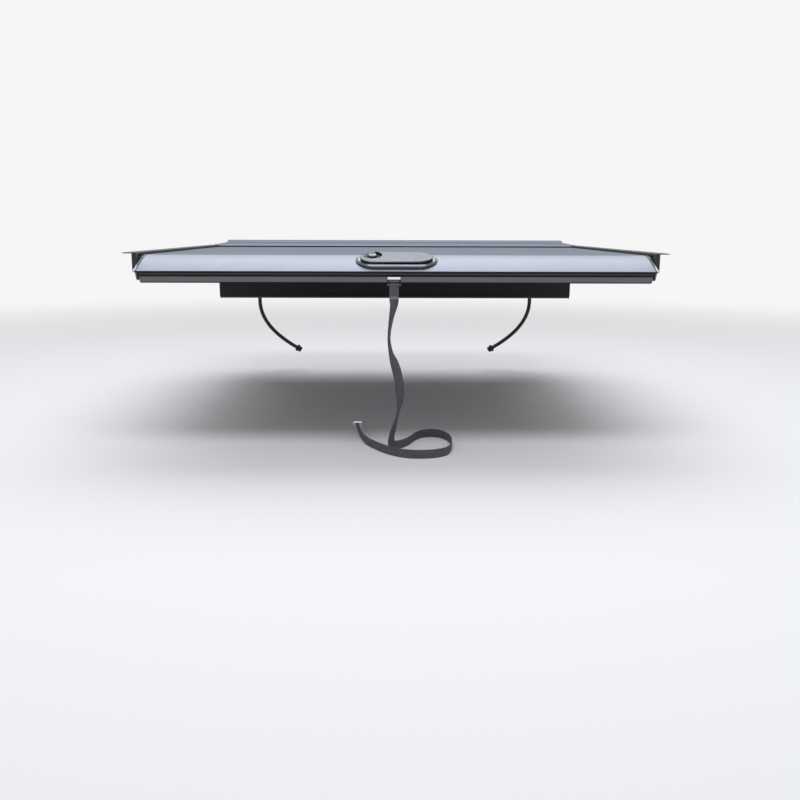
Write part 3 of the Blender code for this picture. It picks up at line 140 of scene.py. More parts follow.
def add_node(
    tree: Tree,
    kind: str,
    settings: Optional[Dict[str, Any]] = None,
    values: Optional[Dict[Any, Any]] = None,
    links: Optional[Dict[Any, Socket]] = None,
) -> Node:
    """Add one shader node with its settings and links.

    Args:
        tree: The tree that gets the node.
        kind: Blender's name of the node type.
        settings: Properties of the node.
        values: Default values of its inputs, by name or place.
        links: Sockets that feed its inputs, by name or place.

    Returns:
        The new node.
    """
    made = tree.nodes.new(kind)
    for name, value in (settings or {}).items():
        setattr(made, name, value)
    for name, value in (values or {}).items():
        made.inputs[name].default_value = value
    for name, socket in (links or {}).items():
        tree.links.new(socket, made.inputs[name])
    return made


@dataclass(frozen=True)
class Finish:
    """A surface finish, named for its material and the way it was made."""

    name: str
    slot: str
    colour: str
    tint: str
    roughness: float
    spread: float
    metallic: float = 0.0
    ior: float = 1.5
    specular: float = 0.5
    sheen_tint: str = "#ffffff"

    def material(self) -> bpy.types.Material:
        """Make the material of this finish, on first use.

        Returns:
            The material.
        """
        made = bpy.data.materials.get(self.name)
        if made is None:
            made = bpy.data.materials.new(self.name)
            made.use_nodes = True
            made.diffuse_color = linear(self.colour)
            shader = made.node_tree.nodes["Principled BSDF"]
            shader.inputs["Metallic"].default_value = self.metallic
            shader.inputs["IOR"].default_value = self.ior
            shader.inputs["Specular IOR Level"].default_value = self.specular
            shader.inputs["Specular Tint"].default_value = linear(self.sheen_tint)
            self.pattern(made.node_tree, shader)
        return made

    def pattern(self, tree: Tree, shader: Node) -> None:
        """Add the nodes that give this finish its detail.

        Args:
            tree: The material's node tree.
            shader: Its Principled shader.
        """
        raise NotImplementedError

    def shade(self, tree: Tree, shader: Node, share: Socket, wear: Socket, limits: Pair) -> None:
        """Blend the finish's two colours and vary its roughness.

        Args:
            tree: The material's node tree.
            shader: Its Principled shader.
            share: How much of the tint shows.
            wear: What the roughness follows.
            limits: The wear where the surface is smoothest and where it is roughest.
        """
        blend = add_node(
            tree,
            "ShaderNodeMix",
            {"data_type": "RGBA"},
            {MIX_A: linear(self.colour), MIX_B: linear(self.tint)},
            {0: share},
        )
        tree.links.new(blend.outputs[MIX_COLOUR], shader.inputs["Base Color"])
        gloss = {
            "From Min": limits[0],
            "From Max": limits[1],
            "To Min": self.roughness - self.spread,
            "To Max": self.roughness + self.spread,
        }
        tone = add_node(tree, "ShaderNodeMapRange", values=gloss, links={"Value": wear})
        tree.links.new(tone.outputs["Result"], shader.inputs["Roughness"])

    @staticmethod
    def emboss(tree: Tree, shader: Node, height: Socket, depth_mm: float) -> None:
        """Raise a pattern as relief.

        Args:
            tree: The material's node tree.
            shader: Its Principled shader.
            height: The pattern, from 0 to 1.
            depth_mm: How high it stands, in millimetres.
        """
        depth = {"Strength": 1.0, "Distance": depth_mm / MM_PER_M}
        bump = add_node(tree, "ShaderNodeBump", values=depth, links={"Height": height})
        tree.links.new(bump.outputs["Normal"], shader.inputs["Normal"])


@dataclass(frozen=True)
class GrainedFinish(Finish):
    """Coats, mouldings, rubber and metal: a fine relief under slow changes of tone."""

    grain: Grain = Grain.ORANGE_PEEL
    grain_mm: float = 1.2
    grain_detail: float = 2.0
    relief_mm: float = 0.01
    mottle_mm: float = 60.0
    mottle_detail: float = 4.0
    mottle_roughness: float = 0.62
    mottle_limits: Pair = (0.3, 0.7)
    stretch: Triple = (1.0, 1.0, 1.0)

    def pattern(self, tree: Tree, shader: Node) -> None:
        """Add slow mottling to colour and gloss, and the grain as relief.

        Args:
            tree: The material's node tree.
            shader: Its Principled shader.
        """
        place = {"Vector": add_node(tree, "ShaderNodeTexCoord").outputs["Object"]}
        slow = {"Scale": per_mm(self.mottle_mm), "Detail": self.mottle_detail}
        slow["Roughness"] = self.mottle_roughness
        mottle = add_node(tree, "ShaderNodeTexNoise", values=slow, links=place).outputs["Fac"]
        self.shade(tree, shader, mottle, mottle, self.mottle_limits)
        drawn = add_node(tree, "ShaderNodeMapping", values={"Scale": self.stretch}, links=place)
        along = {"Vector": drawn.outputs["Vector"]}
        fine = {"Scale": per_mm(self.grain_mm)}
        if self.grain is Grain.SPARK:
            cells = add_node(tree, "ShaderNodeTexVoronoi", {"feature": "SMOOTH_F1"}, fine, along)
            relief = cells.outputs["Distance"]
        else:
            fine["Detail"] = self.grain_detail
            noise = add_node(tree, "ShaderNodeTexNoise", values=fine, links=along)
            relief = noise.outputs["Fac"]
        self.emboss(tree, shader, relief, self.relief_mm)


@dataclass(frozen=True)
class WovenFinish(Finish):
    """Webbing and coated cloth: yarns that cross over and under, on the piece's UV in metres."""

    warp_mm: float = 1.3
    weft_mm: float = 1.7
    relief_mm: float = 0.22
    fade_mm: float = 14.0
    fade_detail: float = 3.0

    def pattern(self, tree: Tree, shader: Node) -> None:
        """Add crossing yarns as relief and tone, and a little fading.

        Args:
            tree: The material's node tree.
            shader: Its Principled shader.
        """
        place = {"Vector": add_node(tree, "ShaderNodeUVMap", {"uv_map": "weave"}).outputs["UV"]}
        yarns = []
        for along, size in (("X", self.warp_mm), ("Y", self.weft_mm)):
            yarn = add_node(
                tree,
                "ShaderNodeTexWave",
                {"wave_type": "BANDS", "bands_direction": along},
                {"Scale": WAVE_TURN * per_mm(size), "Distortion": 0.0},
                place,
            )
            yarns.append(yarn.outputs["Fac"])
        step = (per_mm(self.warp_mm), per_mm(self.weft_mm), 1.0)
        cells = add_node(tree, "ShaderNodeMapping", values={"Scale": step}, links=place)
        check = add_node(
            tree,
            "ShaderNodeTexChecker",
            values={"Color1": WHITE, "Color2": BLACK, "Scale": 1.0},
            links={"Vector": cells.outputs["Vector"]},
        )
        over = {0: check.outputs["Fac"], 2: yarns[0], 3: yarns[1]}
        weave = add_node(tree, "ShaderNodeMix", {"data_type": "FLOAT"}, links=over).outputs[0]
        slow = {"Scale": per_mm(self.fade_mm), "Detail": self.fade_detail}
        fade = add_node(tree, "ShaderNodeTexNoise", values=slow, links=place).outputs["Fac"]
        both = {0: weave, 1: fade}
        share = add_node(tree, "ShaderNodeMath", {"operation": "MULTIPLY"}, links=both)
        self.shade(tree, shader, share.outputs["Value"], fade, (0.0, 1.0))
        self.emboss(tree, shader, weave, self.relief_mm)


# Black satin powder coat on aluminium, smooth with faint orange peel: its mid blue-grey colour and
# broad metallic sheen are a painted reflection of blue sky
DECK_COAT_PAINTED_SKY = GrainedFinish(
    "satin_flake_powder_coat_on_aluminium", "deck_black_coat", "#676d78", "#717782", 0.37, 0.03,
    metallic=0.8, grain=Grain.ORANGE_PEEL, grain_mm=2.6, relief_mm=0.004, mottle_mm=140.0,
)
# The same coat on the slats and the lid, coloured darker with a darker grey tint: painted shade
# and a dimmer painted sky reflection, so it gives back less grazing light
SLAT_COAT_PAINTED_SHADE = GrainedFinish(
    "dulled_flake_powder_coat_on_aluminium", "deck_black_coat", "#5b606a", "#666b75", 0.4, 0.03,
    metallic=0.85, sheen_tint="#bcc2cc",
    grain=Grain.ORANGE_PEEL, grain_mm=2.6, relief_mm=0.004, mottle_mm=140.0,
)
# Black glass-filled nylon end caps, coloured lighter blue-grey than the coat and made metallic: a
# painted highlight and sky reflection on the moulded rim, a little glossier
CAP_PAINTED_SHEEN = GrainedFinish(
    "painted_glass_filled_nylon", "moulded_black", "#7d838e", "#878d98", 0.3, 0.03,
    metallic=0.8, grain=Grain.SPARK, grain_mm=0.8, relief_mm=0.006, mottle_mm=60.0,
)
# Fine textured powder coat: small dry bumps that break up the highlight, twice as coarse as real
RAIL_COAT = GrainedFinish(
    "textured_powder_coat_on_aluminium", "rail_black_coat", "#121315", "#1a1c1e", 0.52, 0.05,
    specular=0.3, grain=Grain.ORANGE_PEEL, grain_mm=0.9, relief_mm=0.03, mottle_mm=90.0,
)
# Glass-filled nylon: spark-eroded mould grain and a dull, slightly warm black
NYLON = GrainedFinish(
    "moulded_glass_filled_nylon", "moulded_black", "#151516", "#1e1e1f", 0.5, 0.05,
    grain=Grain.SPARK, grain_mm=0.8, relief_mm=0.03, mottle_mm=40.0,
)
# Satin moulding of the lock: finer grain and a cleaner highlight than the nylon; the blue tint of
# its reflections is a painted sky reflection
LOCK_PLASTIC = GrainedFinish(
    "satin_moulded_abs", "lock_black", "#191b1f", "#202328", 0.25, 0.02,
    ior=1.6, specular=1.0, sheen_tint="#eaf0ff",
    grain=Grain.SPARK, grain_mm=0.5, relief_mm=0.006, mottle_mm=30.0,
)
# The paddle's moulding: the same plastic, dulled by hands; the blue tint of its reflections is a
# painted sky reflection
PADDLE_PLASTIC = GrainedFinish(
    "handled_satin_abs", "lock_black", "#17191d", "#202327", 0.36, 0.03,
    ior=1.6, specular=0.55, sheen_tint="#dbe5ff",
    grain=Grain.SPARK, grain_mm=0.5, relief_mm=0.006, mottle_mm=30.0,
)
# Dark nickel of the key face: a smoky metal with fine scratches
DARK_NICKEL = GrainedFinish(
    "dark_nickel_plate", "bright_chrome", "#55575b", "#66686c", 0.32, 0.05, metallic=1.0,
    grain=Grain.ORANGE_PEEL, grain_mm=0.7, relief_mm=0.004, mottle_mm=6.0,
)
# Extruded rubber: matt, with a grey bloom
RUBBER = GrainedFinish(
    "extruded_epdm_rubber", "black_rubber", "#0e0e0f", "#1a1a1b", 0.72, 0.08,
    grain=Grain.ORANGE_PEEL, grain_mm=0.7, relief_mm=0.02, mottle_mm=25.0,
)
# Rubber seal: the same rubber, coloured lighter blue-grey as painted light where the seal catches
# the light
SEAL_RUBBER_PAINTED_LIGHT = GrainedFinish(
    "epdm_rubber_painted_light", "black_rubber", "#34353b", "#45464c", 0.6, 0.06,
    grain=Grain.ORANGE_PEEL, grain_mm=0.8, relief_mm=0.02, mottle_mm=40.0,
)
# Hose: smooth extruded rubber with a soft sheen along its length
HOSE_RUBBER = GrainedFinish(
    "smooth_extruded_hose_rubber", "hose_rubber", "#121214", "#1b1b1d", 0.45, 0.06,
    grain=Grain.ORANGE_PEEL, grain_mm=1.5, relief_mm=0.02, mottle_mm=30.0,
)
# Bright zinc plate on steel: cool metal with cloudy passivation
ZINC = GrainedFinish(
    "bright_zinc_plated_steel", "zinc_steel", "#b9bdc4", "#d3d3cc", 0.3, 0.07, metallic=1.0,
    grain=Grain.ORANGE_PEEL, grain_mm=0.6, relief_mm=0.006, mottle_mm=9.0,
)
# Mill-finish aluminium tube: long drawing lines
MILL_ALUMINIUM = GrainedFinish(
    "mill_finish_aluminium", "plain_aluminium", "#a4a6aa", "#b8babd", 0.42, 0.06, metallic=1.0,
    grain=Grain.DRAWN, grain_mm=0.8, relief_mm=0.01, mottle_mm=50.0, stretch=(0.004, 1.0, 1.0),
)
# Dark grey anodised extrusion: die lines along its length under an even grey
ANODISED = GrainedFinish(
    "grey_anodised_aluminium", "grey_anodised", "#5f6064", "#6c6d71", 0.44, 0.05, metallic=0.85,
    grain=Grain.DRAWN, grain_mm=0.7, relief_mm=0.012, mottle_mm=120.0, stretch=(0.003, 1.0, 1.0),
)
# Chrome plate: bright, with faint smears
CHROME = GrainedFinish(
    "bright_chrome_plate", "bright_chrome", "#eceef0", "#f4f4f5", 0.13, 0.04, metallic=1.0,
    grain=Grain.ORANGE_PEEL, grain_mm=2.0, relief_mm=0.002, mottle_mm=12.0,
)
# Polyester webbing: dark grey yarns, lighter on top where they rub
WEBBING = WovenFinish("woven_polyester_webbing", "grey_webbing", "#3f4047", "#72737b", 0.82, 0.08)
# Coated woven band: fine cloth under black polymer
LEADER_CLOTH = WovenFinish(
    "coated_woven_band", "leader_fabric", "#101011", "#1c1c1e", 0.55, 0.06,
    warp_mm=0.9, weft_mm=0.9, relief_mm=0.05,
)
# Sewing thread: bonded polyester with a dry sheen
THREAD = GrainedFinish(
    "bonded_polyester_thread", "grey_webbing", "#a6a8ae", "#c0c1c6", 0.6, 0.05,
    grain=Grain.DRAWN, grain_mm=0.3, relief_mm=0.05, mottle_mm=5.0, stretch=(1.0, 1.0, 0.4),
)


class Bench:
    """Hand tools that shape one piece at a time with Blender's operators."""

    MERGE = 0.00001
    BEVEL_ANGLE = 32.0
    SMOOTH_ANGLE = 38.0
    FLAT_ANGLE = 0.4

    @staticmethod
    def put_down() -> None:
        """Leave editing and select nothing."""
        if bpy.context.mode != "OBJECT":
            bpy.ops.object.mode_set(mode="OBJECT")
        bpy.ops.object.select_all(action="DESELECT")

    @classmethod
    def take(cls, piece: Piece) -> None:
        """Select one piece alone and make it the active one.

        Args:
            piece: The piece to work on.
        """
        cls.put_down()
        piece.select_set(True)
        bpy.context.view_layer.objects.active = piece

    @classmethod
    def open_up(cls, piece: Piece) -> None:
        """Take a piece and open its mesh, with all of it selected.

        Args:
            piece: The piece to work on.
        """
        cls.take(piece)
        bpy.ops.object.mode_set(mode="EDIT")
        bpy.ops.mesh.select_all(action="SELECT")

    @staticmethod
    def close_up() -> None:
        """Turn all faces of the open mesh outward and close it."""
        bpy.ops.mesh.select_all(action="SELECT")
        bpy.ops.mesh.normals_make_consistent(inside=False)
        bpy.ops.object.mode_set(mode="OBJECT")

    @staticmethod
    def add(name: str, data: bpy.types.ID) -> Piece:
        """Put new data into the scene.

        Args:
            name: The new object's name.
            data: Its mesh, curve, light or camera.

        Returns:
            The new object.
        """
        made = bpy.data.objects.new(name, data)
        bpy.context.collection.objects.link(made)
        return made

    @staticmethod
    def discard(piece: Piece) -> None:
        """Clear away a tool, or a first piece once it is copied."""
        bpy.data.objects.remove(piece, do_unlink=True)

    @classmethod
    def outline(cls, name: str, points: Sequence[Sequence[float]], filled: bool = True) -> Piece:
        """Add a flat ring of points, as a start for an extrusion or a spin.

        Args:
            name: The new piece's name.
            points: The ring's points, in order.
            filled: Whether the ring is a face or only its edge.

        Returns:
            The new piece.
        """
        cls.put_down()
        fill = "NGON" if filled else "NOTHING"
        bpy.ops.mesh.primitive_circle_add(vertices=len(points), radius=1.0, fill_type=fill)
        piece = bpy.context.object
        piece.name = name
        piece.data.name = name
        for vertex, point in zip(piece.data.vertices, points):
            vertex.co = point
        return piece

    @classmethod
    def extrude(cls, piece: Piece, offset: Triple, place: Matrix) -> Piece:
        """Pull a flat face out into a solid and put it in its place.

        Args:
            piece: A piece that is one flat face.
            offset: How far and where it is pulled.
            place: Where the solid goes.

        Returns:
            The same piece.
        """
        cls.open_up(piece)
        bpy.ops.mesh.extrude_region_move(TRANSFORM_OT_translate={"value": offset})
        cls.close_up()
        piece.data.transform(place)
        return piece

    @classmethod
    def prism(
        cls, name: str, outline: Sequence[Pair], low: float, high: float, place: Matrix = HOME
    ) -> Piece:
        """Extrude a flat outline along Z and put the solid in its place.

        Args:
            name: The new piece's name.
            outline: Its (x, y) points, in order.
            low: The height it starts at.
            high: The height it ends at.
            place: Where the solid goes.

        Returns:
            The new piece.
        """
        piece = cls.outline(name, [(x, y, low) for x, y in outline])
        return cls.extrude(piece, (0.0, 0.0, high - low), place)

    @classmethod
    def beam(
        cls, name: str, outline: Sequence[Pair], start: float, end: float, place: Matrix = HOME
    ) -> Piece:
        """Extrude a (y, z) outline along X and put the solid in its place.

        Args:
            name: The new piece's name.
            outline: Its (y, z) points, in order.
            start: The X it starts at.
            end: The X it ends at.
            place: Where the solid goes.

        Returns:
            The new piece.
        """
        piece = cls.outline(name, [(start, y, z) for y, z in outline])
        return cls.extrude(piece, (end - start, 0.0, 0.0), place)

    @classmethod
    def block(cls, name: str, low: Triple, high: Triple, place: Matrix = HOME) -> Piece:
        """Make a box between two corners and put it in its place."""
        outline = [(low[0], low[1]), (high[0], low[1]), (high[0], high[1]), (low[0], high[1])]
        return cls.prism(name, outline, low[2], high[2], place)

    @classmethod
    def skirt(cls, piece: Piece, inset: float, rise: float) -> Piece:
        """Raise the top face of an upright prism inside a sloping skirt.

        Args:
            piece: The prism, still upright.
            inset: The skirt's width.
            rise: How far the top face is raised.

        Returns:
            The same piece.
        """
        cls.take(piece)
        top = max(vertex.co.z for vertex in piece.data.vertices)
        bpy.ops.object.mode_set(mode="EDIT")
        bpy.ops.mesh.select_mode(type="FACE")
        bpy.ops.mesh.select_all(action="DESELECT")
        bpy.ops.object.mode_set(mode="OBJECT")
        for face in piece.data.polygons:
            face.select = face.center.z > top - cls.MERGE
        bpy.ops.object.mode_set(mode="EDIT")
        bpy.ops.mesh.inset(thickness=inset, depth=rise)
        bpy.ops.object.mode_set(mode="OBJECT")
        return piece

    @classmethod
    def modify(cls, piece: Piece, kind: str, **settings: Any) -> Piece:
        """Add one modifier and apply it.

        Args:
            piece: The piece to change.
            kind: Blender's name of the modifier type.
            **settings: The modifier's properties.

        Returns:
            The same piece.
        """
        step = piece.modifiers.new(kind.lower(), kind)
        for name, value in settings.items():
            setattr(step, name, value)
        cls.take(piece)
        bpy.ops.object.modifier_apply(modifier=step.name)
        return piece

    @classmethod
    def bevel(cls, piece: Piece, width: float, segments: int = 2) -> Piece:
        """Round the sharp edges of a piece.

        Args:
            piece: The piece to round.
            width: The bevel's width.
            segments: Faces across the bevel.

        Returns:
            The same piece.
        """
        angle = math.radians(cls.BEVEL_ANGLE)
        return cls.modify(
            piece, "BEVEL", width=width, segments=segments, limit_method="ANGLE", angle_limit=angle
        )

    @classmethod
    def smooth(cls, piece: Piece, degrees: float = SMOOTH_ANGLE) -> Piece:
        """Shade a piece smooth up to an angle, with its large faces kept flat.

        Args:
            piece: The finished shape.
            degrees: The sharpest turn that is still shaded smooth.

        Returns:
            The same piece.
        """
        cls.take(piece)
        bpy.ops.object.shade_smooth_by_angle(angle=math.radians(degrees))
        return cls.modify(piece, "WEIGHTED_NORMAL", keep_sharp=True)

    @classmethod
    def soften(cls, piece: Piece, width: float) -> Piece:
        """Round the sharp edges of a piece and shade it smooth."""
        return cls.smooth(cls.bevel(piece, width))

    @classmethod
    def clean(cls, piece: Piece) -> Piece:
        """Join doubled points, clear loose ones away and turn all faces outward.

        Args:
            piece: A piece fresh from a cut or a spin.

        Returns:
            The same piece.
        """
        cls.open_up(piece)
        bpy.ops.mesh.remove_doubles(threshold=cls.MERGE)
        bpy.ops.mesh.dissolve_degenerate(threshold=cls.MERGE)
        bpy.ops.mesh.select_all(action="SELECT")
        bpy.ops.mesh.delete_loose()
        cls.close_up()
        return piece

    @classmethod
    def cut(cls, piece: Piece, tool: Piece, kind: Cut = Cut.AWAY) -> Piece:
        """Cut a piece with a tool or join them, and clear the tool away.

        Args:
            piece: The piece to change.
            tool: The closed shape to work with.
            kind: What the tool does.

        Returns:
            The same piece.
        """
        cls.modify(piece, "BOOLEAN", object=tool, operation=kind.value, solver="EXACT")
        cls.discard(tool)
        return cls.clean(piece)

    @classmethod
    def lathe(cls, name: str, section: Sequence[Pair], steps: int, place: Matrix) -> Piece:
        """Spin a section about an axis.

        Args:
            name: The new piece's name.
            section: Its (radius, height) points, round the section.
            steps: Faces round the axis.
            place: Where the axis goes, from Z at the origin.

        Returns:
            The new piece.
        """
        ring = [(radius, 0.0, height) for radius, height in section]
        piece = cls.outline(name, ring, filled=False)
        cls.open_up(piece)
        bpy.ops.mesh.spin(steps=steps, angle=math.tau, center=(0.0, 0.0, 0.0), axis=UPRIGHT)
        cls.clean(piece)
        piece.data.transform(place)
        return piece

    @classmethod
    def copy(cls, piece: Piece, name: str, move: Matrix) -> Piece:
        """Copy a piece with a mesh of its own.

        Args:
            piece: The piece to copy.
            name: The copy's name.
            move: How the copy's mesh is moved.

        Returns:
            The copy.
        """
        mesh = piece.data.copy()
        mesh.name = name
        mesh.transform(move)
        return cls.add(name, mesh)

    @classmethod
    def refine(cls, node: str, width: float) -> Piece:
        """Copy a CAD node, join its loose faces and round its edges.

        Args:
            node: The node's name.
            width: The bevel's width.

        Returns:
            The new piece.
        """
        piece = cls.copy(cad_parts[node], f"{node}_dressed", HOME)
        cls.open_up(piece)
        bpy.ops.mesh.remove_doubles(threshold=cls.MERGE)
        bpy.ops.mesh.dissolve_limited(angle_limit=math.radians(cls.FLAT_ANGLE))
        cls.put_down()
        return cls.soften(piece, width)


def fit(piece: Piece, finish: Finish, body: Body, nodes: Sequence[str] = ()) -> Piece:
    """Give a finished piece its material, its body and the nodes that it stands for.

    Args:
        piece: The finished piece.
        finish: Its finish.
        body: The body that it rides on.
        nodes: The CAD nodes that it replaces.

    Returns:
        The same piece.
    """
    piece.data.materials.clear()
    piece.data.materials.append(finish.material())
    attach(piece, body.value)
    if nodes:
        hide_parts(*nodes)
    LOG.info("%s: %s on %s", piece.name, finish.name, body.value)
    return piece


def dress(node: str, finish: Finish) -> None:
    """Give a CAD node that stays in view a finish of its own.

    Args:
        node: The node's name.
        finish: Its finish.
    """
    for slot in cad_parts[node].material_slots:
        slot.material = finish.material()
    LOG.info("%s: %s as packed", node, finish.name)


def refit(node: str, finish: Finish, body: Body, width: float) -> Piece:
    """Refine a CAD node, dress the copy and put it in the node's place."""
    return fit(Bench.refine(node, width), finish, body, [node])


def turned(spot: Sequence[float], angle: float, axis: str) -> Matrix:
    """Return the place of a piece that is turned about an axis and moved to a spot."""
    return Matrix.Translation(spot) @ Matrix.Rotation(angle, 4, axis)


def smooth_run(points: Sequence[Vector], steps: int) -> List[Vector]:
    """Return a smooth run through points.

    Args:
        points: The points to pass through.
        steps: Pieces between two of them.

    Returns:
        The points of the run.
    """
    run = []
    last = len(points) - 1
    for index in range(last):
        p0 = points[max(index - 1, 0)]
        p1 = points[index]
        p2 = points[index + 1]
        p3 = points[min(index + 2, last)]
        for step in range(steps):
            t = step / steps
            square = (p0 * 2.0 - p1 * 5.0 + p2 * 4.0 - p3) * t**2
            cube = (p1 * 3.0 - p0 - p2 * 3.0 + p3) * t**3
            run.append((p1 * 2.0 + (p2 - p0) * t + square + cube) / 2.0)
    run.append(points[last].copy())
    return run


def run_length(points: Sequence[Vector]) -> float:
    """Return the length along a run of points."""
    return sum((after - before).length for before, after in zip(points, points[1:]))


def heading(points: Sequence[Vector], index: int) -> Vector:
    """Return the direction of a run at one of its points."""
    last = len(points) - 1
    return (points[min(index + 1, last)] - points[max(index - 1, 0)]).normalized()


def arc(centre: Pair, radius: float, first: float, last: float, steps: int) -> List[Pair]:
    """Return points on an arc between two angles.

    Args:
        centre: The arc's centre.
        radius: Its radius.
        first: The angle it starts at.
        last: The angle it ends at.
        steps: Pieces along it.

    Returns:
        The points, both ends included.
    """
    points = []
    for index in range(steps + 1):
        turn = first + (last - first) * index / steps
        points.append((centre[0] + radius * math.cos(turn), centre[1] + radius * math.sin(turn)))
    return points


def ring_points(centre: Pair, radius: float, steps: int) -> List[Pair]:
    """Return the points of a full circle."""
    return arc(centre, radius, 0.0, math.tau, steps)[:-1]


def stadium(length: float, depth: float, steps: int) -> List[Pair]:
    """Return the outline of a slot with round ends.

    Args:
        length: Its whole length along X.
        depth: Its depth along Y.
        steps: Pieces in each round end.

    Returns:
        The points, anticlockwise.
    """
    radius = depth / 2.0
    reach = length / 2.0 - radius
    right = arc((reach, 0.0), radius, -QUARTER, QUARTER, steps)
    return right + arc((-reach, 0.0), radius, QUARTER, 3.0 * QUARTER, steps)


def sheet_section(path: Sequence[Pair], thick: float) -> List[Pair]:
    """Return the outline of a bent sheet.

    Args:
        path: The middle of the sheet, from end to end.
        thick: The sheet's thickness.

    Returns:
        The points, along one face and back along the other.
    """
    left = []
    right = []
    line = [Vector(spot) for spot in path]
    for index, (y, z) in enumerate(path):
        along = heading(line, index)
        left.append((y - along.y * thick / 2.0, z + along.x * thick / 2.0))
        right.append((y + along.y * thick / 2.0, z - along.x * thick / 2.0))
    return left + list(reversed(right))


def webbing(
    name: str, points: Sequence[Vector], across: Sequence[Vector], width: float, thick: float
) -> Piece:
    """Sweep a flat band with soft edges along a run, with its weave laid out in metres.

    Args:
        name: The new piece's name.
        points: The band's centre line.
        across: The direction of its width at each point.
        width: Its width.
        thick: Its thickness.

    Returns:
        The new piece.
    """
    section = [*BAND_HALF, *((-s, -t) for s, t in BAND_HALF)]
    count = len(section)
    spots = []
    layout = []
    reach = 0.0
    for index, point in enumerate(points):
        reach += (point - points[max(index - 1, 0)]).length
        along = heading(points, index)
        side = (across[index] - along * across[index].dot(along)).normalized()
        face = along.cross(side).normalized()
        for s, t in section:
            spots.append(point + side * (s * width / 2.0) + face * (t * thick / 2.0))
            layout.append((s * width / 2.0, reach))
    faces = []
    for low in range(0, len(spots) - count, count):
        high = low + count
        for place in range(count):
            beside = (place + 1) % count
            faces.append((low + place, high + place, high + beside, low + beside))
    faces.append(tuple(range(count)))
    faces.append(tuple(reversed(range(len(spots) - count, len(spots)))))
    mesh = bpy.data.meshes.new(name)
    mesh.from_pydata([tuple(spot) for spot in spots], [], faces)
    weave = mesh.uv_layers.new(name="weave")
    for loop in mesh.loops:
        weave.data[loop.index].uv = layout[loop.vertex_index]
    piece = Bench.add(name, mesh)
    Bench.open_up(piece)
    Bench.close_up()
    return Bench.smooth(piece, BAND_ANGLE)


@dataclass
class Deck:
    """The fourteen interlocking slats and the band that ties them to the drum."""

    count: int = 14
    pitch: float = 0.0771
    start: float = 0.114
    top: float = -0.004
    half: float = 0.712
    thick: float = 0.0085
    skin: float = 0.0022
    edge: float = 0.0009
    joint: float = 0.0006
    wall: float = 0.002
    reach: float = 0.005
    hook_top: float = 0.004
    tongue_top: float = 0.0065
    down_hook: float = 0.0058
    rib: float = 0.0024
    socket_wall: float = 0.003
    rounding: float = 0.00045
    # The share of its length that a slat or the band keeps when the cover is open
    keep: float = 0.05
    # The drum's axis, as (y, z)
    drum: Pair = (1.37, -0.105)
    drum_radius: float = 0.038
    band_half: float = 0.66
    band_thick: float = 0.0012
    band_gap: float = 0.0003
    band_level: float = -0.0085
    band_start: float = 1.1989
    band_bend: float = 1.262
    band_wrap: float = 130.0
    band_steps: int = 36
    band_anchor: float = 0.35

    def section(self) -> List[Pair]:
        """Draw the slat at the deck's rear: skin, down hook, socket, rib and up hook.

        Returns:
            Its (y, z) outline.
        """
        y = self.start
        top = self.top
        low = top - self.thick
        under = top - self.skin
        front = y + self.pitch
        tip = front + self.reach
        socket = y + self.reach + self.joint
        middle = (y + front) / 2.0
        near = front - self.joint
        return [
            (y, top - self.edge),
            (y + self.edge, top),
            (near - self.edge, top),
            (near, top - self.edge),
            (near, top - self.tongue_top),
            (tip - self.wall, top - self.tongue_top),
            (tip - self.wall, top - self.hook_top),
            (tip, top - self.hook_top),
            (tip, low),
            (near - self.socket_wall, low),
            (near - self.socket_wall, under),
            (middle + self.rib / 2.0, under),
            (middle + self.rib / 2.0, low),
            (middle - self.rib / 2.0, low),
            (middle - self.rib / 2.0, under),
            (socket + self.socket_wall, under),
            (socket + self.socket_wall, low),
            (socket, low),
            (socket, under),
            (y + self.wall, under),
            (y + self.wall, top - self.down_hook),
            (y, top - self.down_hook),
        ]

    def build(self) -> None:
        """Make the slats and the band."""
        first = Bench.beam("slat_first", self.section(), -self.half, self.half)
        Bench.soften(first, self.rounding)
        for index in range(self.count):
            node = f"slat_{index + 1:02d}"
            move = Matrix.Translation((0.0, index * self.pitch, 0.0))
            piece = Bench.copy(first, f"{node}_dressed", move)
            fit(piece, SLAT_COAT_PAINTED_SHADE, Body.CURTAIN, [node])
            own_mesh(piece)
        Bench.discard(first)
        self.build_band()

    def build_band(self) -> None:
        """Make the leader band from the last slat round the drum."""
        ring = self.drum_radius + self.band_gap + self.band_thick / 2.0
        rise = self.drum[1] - self.band_level
        run = self.drum[0] - self.band_bend
        slope = math.atan2(rise, run) + math.asin(ring / math.hypot(rise, run))
        first = slope + QUARTER
        last = first - math.radians(self.band_wrap)
        pairs = [(self.band_start, self.band_level), (self.band_bend, self.band_level)]
        pairs += arc(self.drum, ring, first, last, self.band_steps)
        path = [Vector((0.0, y, z)) for y, z in pairs]
        width = 2.0 * self.band_half
        band = webbing("leader_band_dressed", path, [ACROSS] * len(path), width, self.band_thick)
        fit(band, LEADER_CLOTH, Body.CURTAIN, ["leader_band"])
        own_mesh(band)


